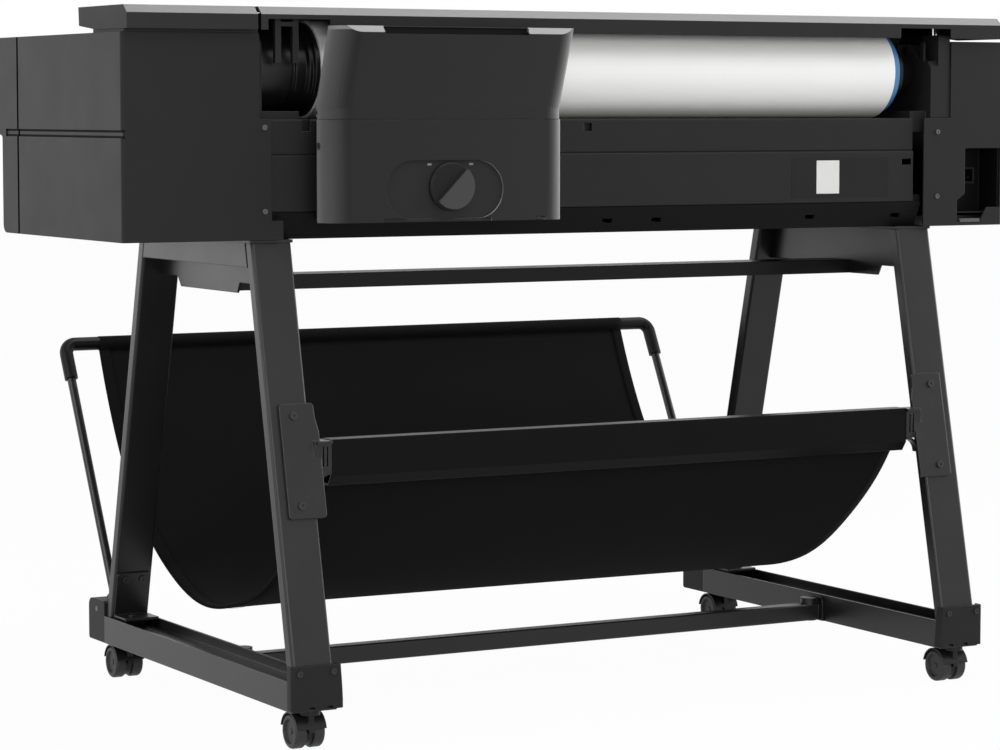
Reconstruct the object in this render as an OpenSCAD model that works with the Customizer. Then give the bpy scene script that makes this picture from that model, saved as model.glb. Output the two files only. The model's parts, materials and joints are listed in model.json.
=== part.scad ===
// Large format plotter on a wheeled stand, with a roll holder, a sheet feeder and a media bin.
// Millimetres. The rear faces +Y, +X is the side with the control panel, the floor is z = 0.

/* [Body] */
// Width of the casing's left end, past the spindle bracket
left_end_w = 190.6; // [180:0.1:230]
// Width of the casing's right end, past the spindle bracket
right_end_w = 94.6; // [90:0.1:130]
// Height of the casing's underside above the floor
body_z = 650; // [600:1:720]
// Height of the casing
body_h = 266; // [258:1:290]
// Depth of the casing at its underside
body_depth = 426; // [415:1:460]
// How far the upper front reaches past the lower front
front_overhang = 44; // [25:1:60]
// Depth of the front corners at the underside
corner_depth = 61; // [54:1:70]
// Gap at the seam on the side faces
side_gap = 2; // [0.4:0.1:3]
// Height of the side groove above the underside
groove_z = 132; // [110:1:150]
// Height of the side groove
groove_h = 10; // [4:1:14]
// Depth of the side groove
groove_d = 1.8; // [1:0.1:2]
// Wall of the moulded casing
wall = 3; // [2.5:0.1:4]
// Gap between neighbouring casing pieces
seam = 0.4; // [0.2:0.1:0.8]
// How far the rear panels lie behind the caps' rear faces
panel_setback = 8; // [6:0.5:12]
// Height of the rear panels' upper edge above the underside
panel_top = 156; // [150:1:160]
// Height of the seam between the two rear panels above the underside
panel_split = 109; // [95:1:120]
// Height of the sloped sill above the underside
sill_h = 34; // [28:1:44]

/* [Roll] */
// Length of the paper roll
roll_len = 914; // [594:1:920]
// Radius of the paper roll
roll_r = 65; // [45:1:66]
// Radius of the roll's core
core_r = 27; // [25:0.5:38]
// Distance of the roll's axis from the rear face
roll_back = 73; // [72:0.5:80]
// Height of the roll's axis above the underside
roll_rise = 221; // [219:0.5:226]
// Radius of the spindle
journal_r = 10; // [8:0.5:12]
// Room for a hub between the roll and its bracket
hub_room = 31; // [26:1:40]
// Width of a spindle bracket
bracket_w = 62; // [56:1:70]
// Radius of the coloured core stop
stop_r = 58; // [45:1:60]
// Thickness of the core stop
stop_t = 19; // [12:1:22]
// Thickness of the roll cover
cover_t = 3; // [2.5:0.1:4]
// Gap between the casing's top and the roll cover
cover_gap = 4; // [3:0.5:6]
// Height of the roll cover's rear face with its bevel
cover_h = 30; // [26:1:34]
// Bevel of the roll cover's rear edge
cover_bevel = 10; // [6:0.5:12]
// How far the roll cover stands out past the rear faces
cover_out = 10; // [4:1:14]
// Depth of the roll cover
cover_depth = 162; // [160:1:166]

/* [Sheet feeder] */
// Width of the feeder
feeder_w = 355; // [320:1:380]
// Distance of the feeder's left side from the left end cap
feeder_gap = 70; // [60:1:90]
// How far the feeder stands out past the rear faces
feeder_out = 60; // [52:1:80]
// Height of the feeder's floor above the underside
feeder_rise = 22; // [10:1:30]
// Height of the feeder's box
feeder_h = 133; // [120:1:140]
// Radius of the feeder's upright corners
feeder_corner = 32; // [26:1:36]
// Height of the paper support above the box
support_h = 120; // [100:1:124]
// Height of the paper support's upright foot
support_foot = 18; // [14:1:24]
// Backward lean of the paper support
support_lean = 20; // [10:1:24]
// Radius of the lock knob
knob_r = 32; // [24:1:34]
// Height of the lock knob's axis above the feeder's floor
knob_rise = 46; // [40:1:60]
// Depth of the round-ended recess around the lock knob
recess_d = 3; // [2:0.5:6]

/* [Stand] */
// Distance of the stand's middle from the roll's middle
stand_off = 19; // [0:1:30]
// Width of a leg
leg_w = 57; // [45:1:62]
// Thickness of a leg
leg_t = 20; // [16:1:26]
// Radius of the legs' long edges
leg_edge = 4; // [2:0.5:6]
// Lean of the rear legs
rear_lean = 12.3; // [8:0.1:14]
// Lean of the front legs
front_lean = 13.8; // [10:0.1:16]
// Distance of the rear legs' top from the rear face
rear_leg_top = 10; // [4:1:30]
// Distance of the front legs' top from the rear face
front_leg_top = 362; // [340:1:370]
// Thickness of the stand's pressed steel
steel_t = 3; // [2:0.5:4]
// Height of a foot rail's walls
rail_h = 39; // [34:1:46]
// Height of the shoes and the bin sockets
shoe_h = 60; // [54:1:70]
// Length of a bin socket
socket_len = 59; // [56:1:70]
// Height of the rear beam's lower edge above the floor
beam_z = 332; // [300:1:360]
// Height of the rear beam
beam_h = 61; // [50:1:70]
// Depth of the rear beam
beam_d = 26; // [22:1:32]
// Distance of the rear beam's rear face from the casing's rear face
beam_out = 53; // [50:1:60]
// Distance of the rear beam's end from the middle of the leg
beam_side = 54; // [44:1:70]
// Height and depth of the lower crossbar
crossbar = 25; // [20:1:30]

/* [Casters] */
// Height of a caster from the floor to the foot rail
caster_h = 52; // [50:1:60]
// Radius of a caster wheel
wheel_r = 22.5; // [18:0.5:23]
// Width of a caster wheel
wheel_w = 16; // [12:0.5:18]
// Distance of the axle from the swivel axis
trail = 18; // [12:1:22]
// Radius of the swivel stem
stem_r = 5.5; // [4:0.5:7]
// Radius of the axle
axle_r = 4; // [3:0.5:5]

/* [Media bin] */
// Radius of the bin's bar
tube_r = 8; // [7:0.5:9]
// Radius of the bin's arms
arm_r = 6.5; // [6:0.5:8]
// Length of an arm from its pivot to the corner
arm_len = 418; // [380:1:450]
// Forward lean of the arms
arm_lean = 27.8; // [24:0.1:32]
// Distance of the arm's pivot from the front end of the foot rail
pivot_out = 30; // [26:1:34]
// Height of the arm's pivot above the foot rail's underside
pivot_rise = 46; // [44:1:48]
// Thickness of the sling
sling_t = 2.4; // [2:0.1:4]

/* [Fits] */
// Radial clearance of shafts and pins in their bores
run_fit = 0.05; // [0.02:0.01:0.1]
// Gap between pieces that lie against each other
lay = 0.3; // [0.2:0.05:0.5]
// Radius of the hinge pins
pin_r = 2.5; // [2:0.5:3]

/* [Hidden] */
$fn = 48;
charcoal = [0.16, 0.16, 0.165];
side_grey = [0.24, 0.24, 0.245];
steel_grey = [0.2, 0.2, 0.21];
black = [0.06, 0.06, 0.065];
bright = [0.6, 0.6, 0.6];
inner_grey = [0.3, 0.3, 0.31];
big = 3000;

// Heights of the casing
body_top = body_z + body_h;
panel_z = body_z + panel_top;
split_z = body_z + panel_split;
sill_z = body_z + sill_h;

// The stand's frame, measured from the casing's rear face
roll_x = (right_end_w - left_end_w) / 2;
stand_x = roll_x + stand_off;
stand_w = roll_len + 2 * beam_side;
mount_t = 4;
leg_top_z = body_z - mount_t;
rail_z = caster_h;
rail_w = leg_w + 2 * lay + 2 * steel_t;
seat_h = 22;
leg_seat_z = rail_z + steel_t + seat_h;
function rear_leg_y(z) = -rear_leg_top + (leg_top_z - z) * tan(rear_lean);
function front_leg_y(z) = -front_leg_top - (leg_top_z - z) * tan(front_lean);
leg_depth_rear = leg_t / cos(rear_lean);
leg_depth_front = leg_t / cos(front_lean);
shoe_t = 7;
shoe_z = rail_z + shoe_h;
toe_y = rear_leg_y(shoe_z) + 5;
front_toe_y = front_leg_y(rail_z + 48) - leg_depth_front;
swivel_in = 14;
rear_swivel_y = toe_y - swivel_in;
front_swivel_y = front_toe_y + swivel_in;

// The bin's arms
pivot_y = front_toe_y - pivot_out;
pivot_z = rail_z + pivot_rise;
corner_y = pivot_y - arm_len * sin(arm_lean);
corner_z = pivot_z + arm_len * cos(arm_lean);
elbow_r = tube_r + 2;
elbow_bend = 16;
sling_w = roll_len;

// The origin is on the floor below the middle of the whole
rear_reach = toe_y + lay + shoe_t;
front_reach = elbow_r - corner_y;
rear_y = (front_reach - rear_reach) / 2;

// The roll and what holds it
roll_y = -roll_back;
roll_z = body_z + roll_rise;
bracket_in = roll_len / 2 + hub_room;
bracket_out = bracket_in + bracket_w;
half_w = bracket_out + seam + (left_end_w + right_end_w) / 2;
left_in = roll_x + bracket_out + seam;
right_in = roll_x - bracket_out - seam;
left_low_in = left_in - 17;
right_low_in = right_in + 47;
trough_r = roll_r + 11;
trough_wall_y = roll_y - trough_r;
trough_t = 7;
drum_r = roll_r - 13;
flange_r = roll_r - 3;
flange_t = 16;
drum_end = bracket_out - 10;
deck_y = trough_wall_y - trough_t - 22;
deck_z = body_top - 4;

// The roll cover and its hinge
cover_z = body_top + cover_gap;
cover_top = cover_z + cover_h;
cover_front = cover_out - cover_depth;
cover_hinge_y = trough_wall_y + 3;
cover_hinge_z = cover_z + 10;
cover_split = left_in + 6;
knuckle_r = pin_r + 3.5;
ear_t = 8;

// The front window's hinge
window_hinge_y = deck_y - 8;
window_hinge_z = deck_z - 4;
window_r = pin_r + 2.5;
front_y = -body_depth;
brow_y = front_y - front_overhang;
side_seam = body_depth - corner_depth;

// The sheet feeder
feeder_z = body_z + feeder_rise;
feeder_top = feeder_z + feeder_h;
feeder_left = left_in - feeder_gap;
feeder_right = feeder_left - feeder_w;
feeder_x = (feeder_left + feeder_right) / 2;
shell_y = feeder_out - feeder_corner - 4;
shell_in = 14;
support_y = feeder_out - feeder_corner - 6;
support_z = feeder_top + 9;
knob_z = feeder_z + knob_rise;
knob_shaft_r = 6;
pickup_y = feeder_out - 32;
pickup_z = feeder_top - 34;
pickup_r = 5;

// The print mechanism
plate_x = half_w - 43;
rod_y = deck_y - 84;
rod_z = body_top - 66;
rod_r = 11;
platen_z = body_z + 0.466 * body_h;
feed_y = deck_y - 36;
feed_r = 11;
feed_z = platen_z - feed_r;
feed_shaft_r = 6;
park_x = (left_in + plate_x) / 2 - 6;
belt_y = rod_y + 38;
belt_z = rod_z + 14;

// A polygon's corners rounded by arcs, one radius or one per corner
function unit(v) = v / norm(v);
function corner_arc(p, a, b, r, steps) =
    let (u = unit(a - p), v = unit(b - p), half = acos(u * v) / 2)
    let (c = p + unit(u + v) * r / sin(half), s = p + u * r / tan(half) - c, e = p + v * r / tan(half) - c)
    let (start = atan2(s.y, s.x), sweep = atan2(s.x * e.y - s.y * e.x, s * e))
    [for (k = [0:steps]) c + r * [cos(start + sweep * k / steps), sin(start + sweep * k / steps)]];
function rounded(pts, r, steps = 5) =
    let (n = len(pts))
    [for (i = [0:n - 1])
        let (ri = is_list(r) ? r[i] : r)
        each ri <= 0 ? [pts[i]] : corner_arc(pts[i], pts[(i + n - 1) % n], pts[(i + 1) % n], ri, steps)];
function rect(x0, x1, y0, y1) = [[x0, y0], [x1, y0], [x1, y1], [x0, y1]];

// Pieces are drawn from the casing's rear face and moved to the origin here
module at_rear() {
    translate([0, rear_y, 0]) children();
}
// Drawn for the +X side from the stand's middle, then placed on either side
module on_side(side) {
    translate([stand_x, 0, 0]) mirror([side < 0 ? 1 : 0, 0, 0]) children();
}
module block(x0, x1, y0, y1, z0, z1) {
    translate([x0, y0, z0]) cube([x1 - x0, y1 - y0, z1 - z0]);
}
// An outline in Y and Z, drawn out along X
module along_x(outline, x0, x1) {
    translate([x0, 0, 0]) rotate([90, 0, 90]) linear_extrude(x1 - x0) polygon(outline);
}
// An outline in X and Z, drawn out along Y
module along_y(outline, y0, y1) {
    translate([0, y1, 0]) rotate([90, 0, 0]) linear_extrude(y1 - y0) polygon(outline);
}
// An outline in X and Y, drawn out along Z
module along_z(outline, z0, z1) {
    translate([0, 0, z0]) linear_extrude(z1 - z0) polygon(outline);
}
module rod_x(x0, x1, y, z, r) {
    translate([x0, y, z]) rotate([0, 90, 0]) cylinder(h = x1 - x0, r = r);
}
module rod_y(y0, y1, x, z, r) {
    translate([x, y1, z]) rotate([90, 0, 0]) cylinder(h = y1 - y0, r = r);
}
module pan_head(r) {
    difference() {
        cylinder(h = r * 0.5, r = r);
        translate([0, 0, r * 0.25]) cylinder(h = r, r = r * 0.5, $fn = 6);
    }
}

// Stand

// A rectangular tube with rounded edges, leaning, cut level at both ends and upright at its toe
module leaning_leg(top_y, lean, toe_from, toe_to) {
    reach = leg_top_z / cos(lean);
    intersection() {
        translate([stand_w / 2, top_y, leg_top_z]) rotate([lean, 0, 0]) translate([0, 0, -reach])
            linear_extrude(reach + leg_t) polygon(rounded(rect(-leg_w / 2, leg_w / 2, -leg_t, 0), leg_edge));
        block(stand_w / 2 - leg_w, stand_w / 2 + leg_w, toe_from, toe_to, leg_seat_z, leg_top_z);
    }
}
module rear_leg(side) {
    color(steel_grey) at_rear() on_side(side) leaning_leg(-rear_leg_top, rear_lean, -big, toe_y);
}
module front_legs() {
    color(steel_grey) at_rear() for (side = [1, -1])
        on_side(side) leaning_leg(-front_leg_top, -front_lean, front_toe_y + lay, big);
}
module left_rear_leg() rear_leg(1);
module right_rear_leg() rear_leg(-1);

// Pressed rail under the casing: mounting plate, outer band, fold and an inner web with a tab
module top_rails() {
    x = stand_w / 2;
    band_h = 32;
    web_h = 56;
    tab_h = 70;
    fold_z = leg_top_z - band_h;
    web_z = leg_top_z - web_h;
    tab = [[tab_mid - 110, tab_mid + 84], [tab_mid - 84, tab_mid + 110]];
    rear_in = leg_depth_rear + lay;
    color(steel_grey) at_rear() for (end = [0, 1]) on_side(1 - 2 * end) union() {
        block(x - leg_w / 2 - 2, x + leg_w / 2 + 2, -front_leg_top - leg_depth_front, -rear_leg_top, leg_top_z,
              body_z);
        along_x([
            [front_leg_y(leg_top_z) + lay, leg_top_z],
            [front_leg_y(fold_z) + lay, fold_z],
            [rear_leg_y(fold_z) - rear_in, fold_z],
            [rear_leg_y(leg_top_z) - rear_in, leg_top_z]
        ], x + leg_w / 2 - steel_t, x + leg_w / 2);
        block(x - steel_t, x + leg_w / 2, front_leg_y(fold_z + steel_t) + lay,
              rear_leg_y(fold_z + steel_t) - rear_in, fold_z, fold_z + steel_t);
        along_x([
            [front_leg_y(leg_top_z) + lay, leg_top_z + 1],
            [front_leg_y(web_z) + lay, web_z],
            [tab[end][0] - 11, web_z],
            [tab[end][0], leg_top_z - tab_h],
            [tab[end][1] - 8, leg_top_z - tab_h],
            [tab[end][1], web_z],
            [rear_leg_y(web_z) - rear_in, web_z],
            [rear_leg_y(leg_top_z) - rear_in, leg_top_z + 1]
        ], x - steel_t, x);
    }
}
rail_mid_y = -(front_leg_top + rear_leg_top) / 2 - 8;
tab_mid = rail_mid_y;

// Channel open above and below its web, with a solid seat at each end for the leg and the caster stem
module foot_rail(side) {
    x = stand_w / 2;
    half = rail_w / 2;
    color(steel_grey) at_rear() on_side(side) difference() {
        union() {
            along_y([
                [x - half, rail_z],
                [x - half + steel_t, rail_z],
                [x - half + steel_t, leg_seat_z - steel_t],
                [x + half - steel_t, leg_seat_z - steel_t],
                [x + half - steel_t, rail_z],
                [x + half, rail_z],
                [x + half, rail_z + rail_h],
                [x + half - steel_t, rail_z + rail_h],
                [x + half - steel_t, leg_seat_z],
                [x - half + steel_t, leg_seat_z],
                [x - half + steel_t, rail_z + rail_h],
                [x - half, rail_z + rail_h]
            ], front_toe_y, toe_y);
            for (y = [rear_swivel_y, front_swivel_y])
                block(x - half + 1, x + half - 1, y - swivel_in, y + swivel_in, rail_z, leg_seat_z);
        }
        for (y = [rear_swivel_y, front_swivel_y])
            translate([x, y, rail_z - 1]) cylinder(h = seat_h + 1, r = stem_r + run_fit);
    }
}
module left_foot_rail() foot_rail(1);
module right_foot_rail() foot_rail(-1);

// Moulded shoe over the rear end of each foot rail, flared on its inner side
module foot_shoes() {
    x = stand_w / 2;
    in = rail_w / 2 + lay;
    out = in + steel_t;
    flare = 4;
    color(charcoal) at_rear() for (side = [1, -1]) on_side(side) difference() {
        intersection() {
            along_z(rounded(rect(x - out - flare, x + out, toe_y - 7, rear_reach), [0, 0, 5, 5]), rail_z + 3,
                    shoe_z);
            along_y([
                [x - out - flare, 0],
                [x - out - flare, rail_z + 3],
                [x - out + 1, shoe_z],
                [x - out + 1, big],
                [x + out, big],
                [x + out, 0]
            ], -big, big);
        }
        block(x - in, x + in, toe_y - big, toe_y + lay, 0, big);
        for (dx = [-0.3, 0.1])
            block(x + dx * rail_w - 4, x + dx * rail_w + 4, toe_y + lay, big, 0, rail_z + 7);
    }
}

// Block at the front end of each foot rail, slotted for the bin's arm
module bin_sockets() {
    x = stand_w / 2;
    half = rail_w / 2;
    front = front_toe_y - socket_len;
    color(charcoal) at_rear() for (side = [1, -1]) on_side(side) difference() {
        along_x(rounded(rect(front, front_toe_y, rail_z, shoe_z), [4, 0, 6, 12]), x - half, x + half);
        along_x([
            [arm_front(pivot_z), pivot_z],
            [pivot_y + lug_r + 8, pivot_z],
            [pivot_y + lug_r + 8, shoe_z + 1],
            [arm_front(shoe_z + 1), shoe_z + 1]
        ], x - lug_t / 2 - lay, x + lug_t / 2 + lay);
        rod_x(x - lug_t / 2 - lay, x + lug_t / 2 + lay, pivot_y, pivot_z, lug_r + 1);
        rod_x(x - half - 1, x + half + 1, pivot_y, pivot_z, pivot_r + run_fit);
    }
}
lug_t = 18;
lug_r = 11;
pivot_r = 4;
// The slot's front face, on which the arm leans
function arm_front(z) = pivot_y - (z - pivot_z) * tan(arm_lean) - (arm_r + lay) / cos(arm_lean);

// Folded box section behind the rear legs, its lower rear edge sloped
module rear_beam() {
    front = beam_out - beam_d;
    fold = 13;
    outline = [
        [front, beam_z],
        [beam_out - fold * 0.7, beam_z],
        [beam_out, beam_z + fold],
        [beam_out, beam_z + beam_h],
        [front, beam_z + beam_h]
    ];
    hollow = [
        [front + steel_t, beam_z + steel_t],
        [beam_out - fold * 0.7 - 1, beam_z + steel_t],
        [beam_out - steel_t, beam_z + fold + 1],
        [beam_out - steel_t, beam_z + beam_h - steel_t],
        [front + steel_t, beam_z + beam_h - steel_t]
    ];
    color(steel_grey) at_rear() translate([stand_x, 0, 0]) difference() {
        along_x(outline, -sling_w / 2, sling_w / 2);
        along_x(hollow, -sling_w, sling_w);
    }
}

// Plates on the rear legs with a tongue that enters the rear beam, and angles at the front legs' feet
bracket_up = 47;
bracket_down = 38;
bracket_t = 4;
module stand_brackets() {
    color(steel_grey) at_rear() for (side = [1, -1]) on_side(side) {
        beam_bracket();
        foot_angle();
    }
}
module beam_bracket() {
    x = stand_w / 2;
    inner = x - leg_w / 2 - 6;
    end = x - beam_side;
    front = beam_out - beam_d;
    clip_z = beam_z + 18;
    top_z = beam_z + beam_h;
    low = -(leg_top_z - beam_z + bracket_down) / cos(rear_lean);
    high = -(leg_top_z - top_z - bracket_up) / cos(rear_lean);
    bend_r = inner - end + 3;
    difference() {
        union() {
            translate([0, -rear_leg_top, leg_top_z]) rotate([rear_lean, 0, 0]) along_y(rounded([
                [x + 14, low],
                [x + 14, high],
                [inner, high],
                [inner - 1, high - 20],
                [inner - 5, high - 38],
                [inner - 5, low]
            ], [4, 4, 4, 0, 0, 4]), 0, bracket_t);
            block(end, x - leg_w / 2 - lay, front + 1, beam_out + 1, clip_z, top_z - 1);
            block(end, x - leg_w / 2 - 4, beam_out - 8, beam_out + 5, top_z - 5, top_z - 1);
            block(end - 20, end + 1, front + steel_t + lay, beam_out - steel_t - lay, clip_z + 2,
                  top_z - steel_t - lay);
            intersection() {
                difference() {
                    rod_y(beam_out - 10, beam_out + 1, inner + 3 - bend_r, clip_z + 2 - bend_r, bend_r);
                    rod_y(-big, big, inner + 3 - bend_r, clip_z + 2 - bend_r, bend_r - 4);
                }
                block(inner + 3 - bend_r, big, -big, big, clip_z + 2 - bend_r, big);
            }
        }
        for (k = [0.3, 0.6])
            translate([end + k * (inner - end), beam_out, 0]) block(-1.2, 1.2, -3, big, clip_z + 8, top_z - 9);
    }
}
module foot_angle() {
    x = stand_w / 2;
    half = leg_w / 2 - 3;
    shelf = rail_z + rail_h;
    low = -(leg_top_z - shelf - 2) / cos(front_lean);
    high = -(leg_top_z - angle_z) / cos(front_lean);
    translate([0, -front_leg_top, leg_top_z]) rotate([-front_lean, 0, 0])
        along_y(rounded(rect(x - half, x + half, low, high), [0, 0, 4, 4]), 0, steel_t);
    block(x - half, x + half, front_leg_y(shelf + 4) + lay, front_leg_y(shelf) + 46, shelf, shelf + 4);
}
angle_z = rail_z + rail_h + 66;

// Channel between the tabs of the top rails
module upper_crossbar() {
    top = leg_top_z - 50;
    low = leg_top_z - 70;
    y = rail_mid_y;
    color(steel_grey) at_rear() translate([stand_x, 0, 0]) along_x([
        [y - 30, low],
        [y - 30, top],
        [y + 30, top],
        [y + 30, low],
        [y + 30 - steel_t, low],
        [y + 30 - steel_t, top - steel_t],
        [y - 30 + steel_t, top - steel_t],
        [y - 30 + steel_t, low]
    ], -stand_w / 2 + steel_t, stand_w / 2 - steel_t);
}

// Square tube between the foot rails, with an upright boss and a rounded flange at each end
module lower_crossbar() {
    y = (rear_swivel_y + front_swivel_y) / 2;
    half = (stand_w - rail_w) / 2;
    flange = crossbar * 0.9;
    color(steel_grey) at_rear() translate([stand_x, 0, 0]) union() {
        along_x(rounded(rect(y - crossbar / 2, y + crossbar / 2, rail_z, rail_z + crossbar), 3), -half, half);
        for (side = [1, -1])
            mirror([side < 0 ? 1 : 0, 0, 0]) {
                along_x(rounded(rect(y - flange, y + flange, rail_z, rail_z + rail_h - 2), [0, 0, 10, 10]),
                        half - steel_t, half);
                translate([half - crossbar / 2, y, rail_z]) cylinder(h = rail_h - 5, r = crossbar / 2);
            }
    }
}

// Bolt heads of the brackets, shoes and foot rails
module stand_bolts() {
    x = stand_w / 2;
    color(bright) at_rear() for (side = [1, -1]) on_side(side) {
        for (z = [beam_z - bracket_down + 16, beam_z + beam_h + bracket_up - 16])
            translate([x - 5, -rear_leg_top, leg_top_z]) rotate([rear_lean, 0, 0])
                translate([0, bracket_t, -(leg_top_z - z) / cos(rear_lean)]) rotate([-90, 0, 0]) pan_head(5);
        for (dx = [-13, 13])
            translate([x + dx, -front_leg_top, leg_top_z]) rotate([-front_lean, 0, 0])
                translate([0, steel_t, -(leg_top_z - angle_z + 10) / cos(front_lean)])
                rotate([-90, 0, 0]) pan_head(5);
        translate([x + 8, front_leg_y(rail_z + rail_h) + 26, rail_z + rail_h + 4]) pan_head(4);
        for (dx = [-24, 24])
            translate([x + dx, rear_reach, shoe_z - 9]) rotate([-90, 0, 0]) pan_head(4);
    }
}

// Casters

web_w = 8;
module place_caster(side, front) {
    on_side(side) translate([stand_w / 2, front ? front_swivel_y : rear_swivel_y, 0]) children();
}
// Hood with the swivel stem, the web between the wheels and a fender over them
module caster_hood(side, front) {
    fender_in = wheel_r + 1;
    fender_out = min(wheel_r + 3, caster_h - wheel_r - 2);
    half = web_w / 2 + 1 + wheel_w;
    color(black) at_rear() place_caster(side, front) difference() {
        union() {
            translate([0, 0, caster_h - 6]) cylinder(h = 6 - lay, r = stem_r + 8);
            translate([0, 0, caster_h - 6]) cylinder(h = 6 + steel_t + seat_h - 4, r = stem_r);
            rod_x(-web_w / 2, web_w / 2, -trail, wheel_r, wheel_r - 3);
            block(-web_w / 2, web_w / 2, -trail - 8, stem_r, wheel_r, caster_h - 4);
            intersection() {
                difference() {
                    rod_x(-half, half, -trail, wheel_r, fender_out);
                    rod_x(-big, big, -trail, wheel_r, fender_in);
                }
                block(-big, big, -trail - big, big, wheel_r + 5, big);
            }
            intersection() {
                rod_x(-web_w / 2, web_w / 2, -trail, wheel_r, fender_out);
                block(-big, big, -big, big, wheel_r, big);
            }
        }
        rod_x(-big, big, -trail, wheel_r, axle_r + run_fit);
    }
}
// Two wheels with recessed outer faces on one axle
module caster_wheels(side, front) {
    inner = web_w / 2 + 1;
    outer = inner + wheel_w;
    color(black) at_rear() place_caster(side, front) translate([0, -trail, wheel_r]) rotate([0, 90, 0]) {
        for (face = [0, 1])
            mirror([0, 0, face]) rotate_extrude() polygon(wheel_profile(inner, outer));
        translate([0, 0, -outer + 2]) cylinder(h = 2 * outer - 4, r = axle_r);
    }
}
function wheel_profile(inner, outer) =
    rounded([[0, inner], [wheel_r, inner], [wheel_r, outer], [wheel_r * 0.72, outer],
             [wheel_r * 0.66, outer - 3], [0, outer - 3]], [0, 2, 4, 0, 0, 0]);
module rear_left_hood() caster_hood(1, false);
module rear_right_hood() caster_hood(-1, false);
module front_left_hood() caster_hood(1, true);
module front_right_hood() caster_hood(-1, true);
module rear_left_wheels() caster_wheels(1, false);
module rear_right_wheels() caster_wheels(-1, false);
module front_left_wheels() caster_wheels(1, true);
module front_right_wheels() caster_wheels(-1, true);

// Media bin

elbow_arm = 56;
elbow_bar = 54;
// Drawn with the arm upright on its pivot, then leaned forward
module on_arm() {
    translate([stand_w / 2, pivot_y, pivot_z]) rotate([arm_lean, 0, 0]) children();
}
// Tubes with a flat lug round the pivot pin
module bin_arms() {
    color(steel_grey) at_rear() for (side = [1, -1]) on_side(side) on_arm() difference() {
        union() {
            translate([0, 0, lug_r]) cylinder(h = arm_len - elbow_bend - lug_r - lay, r = arm_r);
            rod_x(-lug_t / 2, lug_t / 2, 0, 0, lug_r);
            block(-lug_t / 2, lug_t / 2, -arm_r, arm_r, 0, lug_r + 10);
        }
        rod_x(-big, big, 0, 0, pivot_r + run_fit);
    }
}
module bin_bar() {
    half = stand_w / 2 - elbow_bend - lay;
    color(steel_grey) at_rear() translate([stand_x, 0, 0]) rod_x(-half, half, corner_y, corner_z, tube_r);
}
// Moulded bends over the ends of the arms and the bar
module bin_elbows() {
    color(black) at_rear() for (side = [1, -1])
        on_side(side) on_arm() translate([0, 0, arm_len]) difference() {
            union() {
                translate([-elbow_bend, 0, -elbow_bend]) rotate([90, 0, 0]) rotate_extrude(angle = 90)
                    translate([elbow_bend, 0]) circle(r = elbow_r);
                translate([0, 0, -elbow_arm]) cylinder(h = elbow_arm - elbow_bend, r = elbow_r);
                rod_x(-elbow_bar, -elbow_bend, 0, 0, elbow_r);
            }
            translate([0, 0, -elbow_arm - 1]) cylinder(h = elbow_arm + 1 - elbow_bend, r = arm_r + run_fit);
            rod_x(-elbow_bar - 1, -elbow_bend, 0, 0, tube_r + run_fit);
        }
}
// Sling hemmed round the bar and fixed along the front of the rear beam
module bin_sling() {
    hem_r = tube_r + lay;
    steps = 28;
    hold = [beam_out - beam_d - lay, beam_z + 16];
    start = [corner_y + 3, corner_z - hem_r - sling_t / 2];
    drop = [[start.x + 209, start.y - 513], [hold.x - 139, hold.y - 234]];
    path = [for (k = [0:steps]) bezier(start, drop[0], drop[1], hold, k / steps)];
    upper = [for (k = [0:steps]) path[k] + sling_t / 2 * normal(path, k)];
    lower = [for (k = [steps:-1:0]) path[k] - sling_t / 2 * normal(path, k)];
    color(black) at_rear() translate([stand_x, 0, 0]) difference() {
        union() {
            intersection() {
                along_x(concat(upper, lower), -sling_w / 2, sling_w / 2);
                block(-big, big, -big, hold.x, 0, big);
            }
            rod_x(-sling_w / 2, sling_w / 2, corner_y, corner_z, hem_r + sling_t);
        }
        rod_x(-big, big, corner_y, corner_z, hem_r);
    }
}
function bezier(a, b, c, d, t) =
    pow(1 - t, 3) * a + 3 * pow(1 - t, 2) * t * b + 3 * (1 - t) * t * t * c + pow(t, 3) * d;
function normal(path, k) =
    let (d = unit(path[min(k + 1, len(path) - 1)] - path[max(k - 1, 0)])) [-d.y, d.x];

// Casing

// Shallow pan that everything in the casing stands on
module base_tray() {
    edge = half_w - wall - lay;
    color(inner_grey) at_rear() difference() {
        block(-edge, edge, front_y + wall + lay, sill_foot, body_z, body_z + 14);
        block(-edge + 2, edge - 2, front_y + wall + lay + 2, sill_foot - 2, body_z + steel_t, big);
    }
}
sill_foot = -30;

// Rear part of an end cap: a shell open towards the mechanism, with a wider rear face low down
module end_cap(side, upper_in, lower_in, foot_in) {
    mouth = -side_seam - 1;
    color(side_grey) at_rear() mirror([side < 0 ? 1 : 0, 0, 0]) difference() {
        union() {
            along_z(rounded(rect(upper_in, half_w, -side_seam, 0), [0, 0, 4, 0]), body_z, body_top);
            block(lower_in, upper_in + 1, -wall, 0, body_z, panel_z);
            block(foot_in, lower_in + 1, -wall, 0, body_z, body_z + 25);
        }
        block(upper_in + wall, half_w - wall, -side_seam - 1, -wall, 0, body_top - wall);
        block(upper_in - 1, half_w - wall, mouth, deck_y - seam, 0, body_top - wall);
        block(half_w - groove_d, half_w + 1, mouth, 1, body_z + groove_z, body_z + groove_z + groove_h);
        block(upper_in - 1, upper_in + wall + 1, mouth, -wall, 0, body_z + panel_split);
    }
}
module left_end_cap() end_cap(1, left_in, left_low_in, left_low_in - 16);
module right_end_cap() {
    difference() {
        end_cap(-1, -right_in, -right_low_in, -right_low_in);
        at_rear() inlet_cut(-wall - 1, 1);
    }
}
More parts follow.
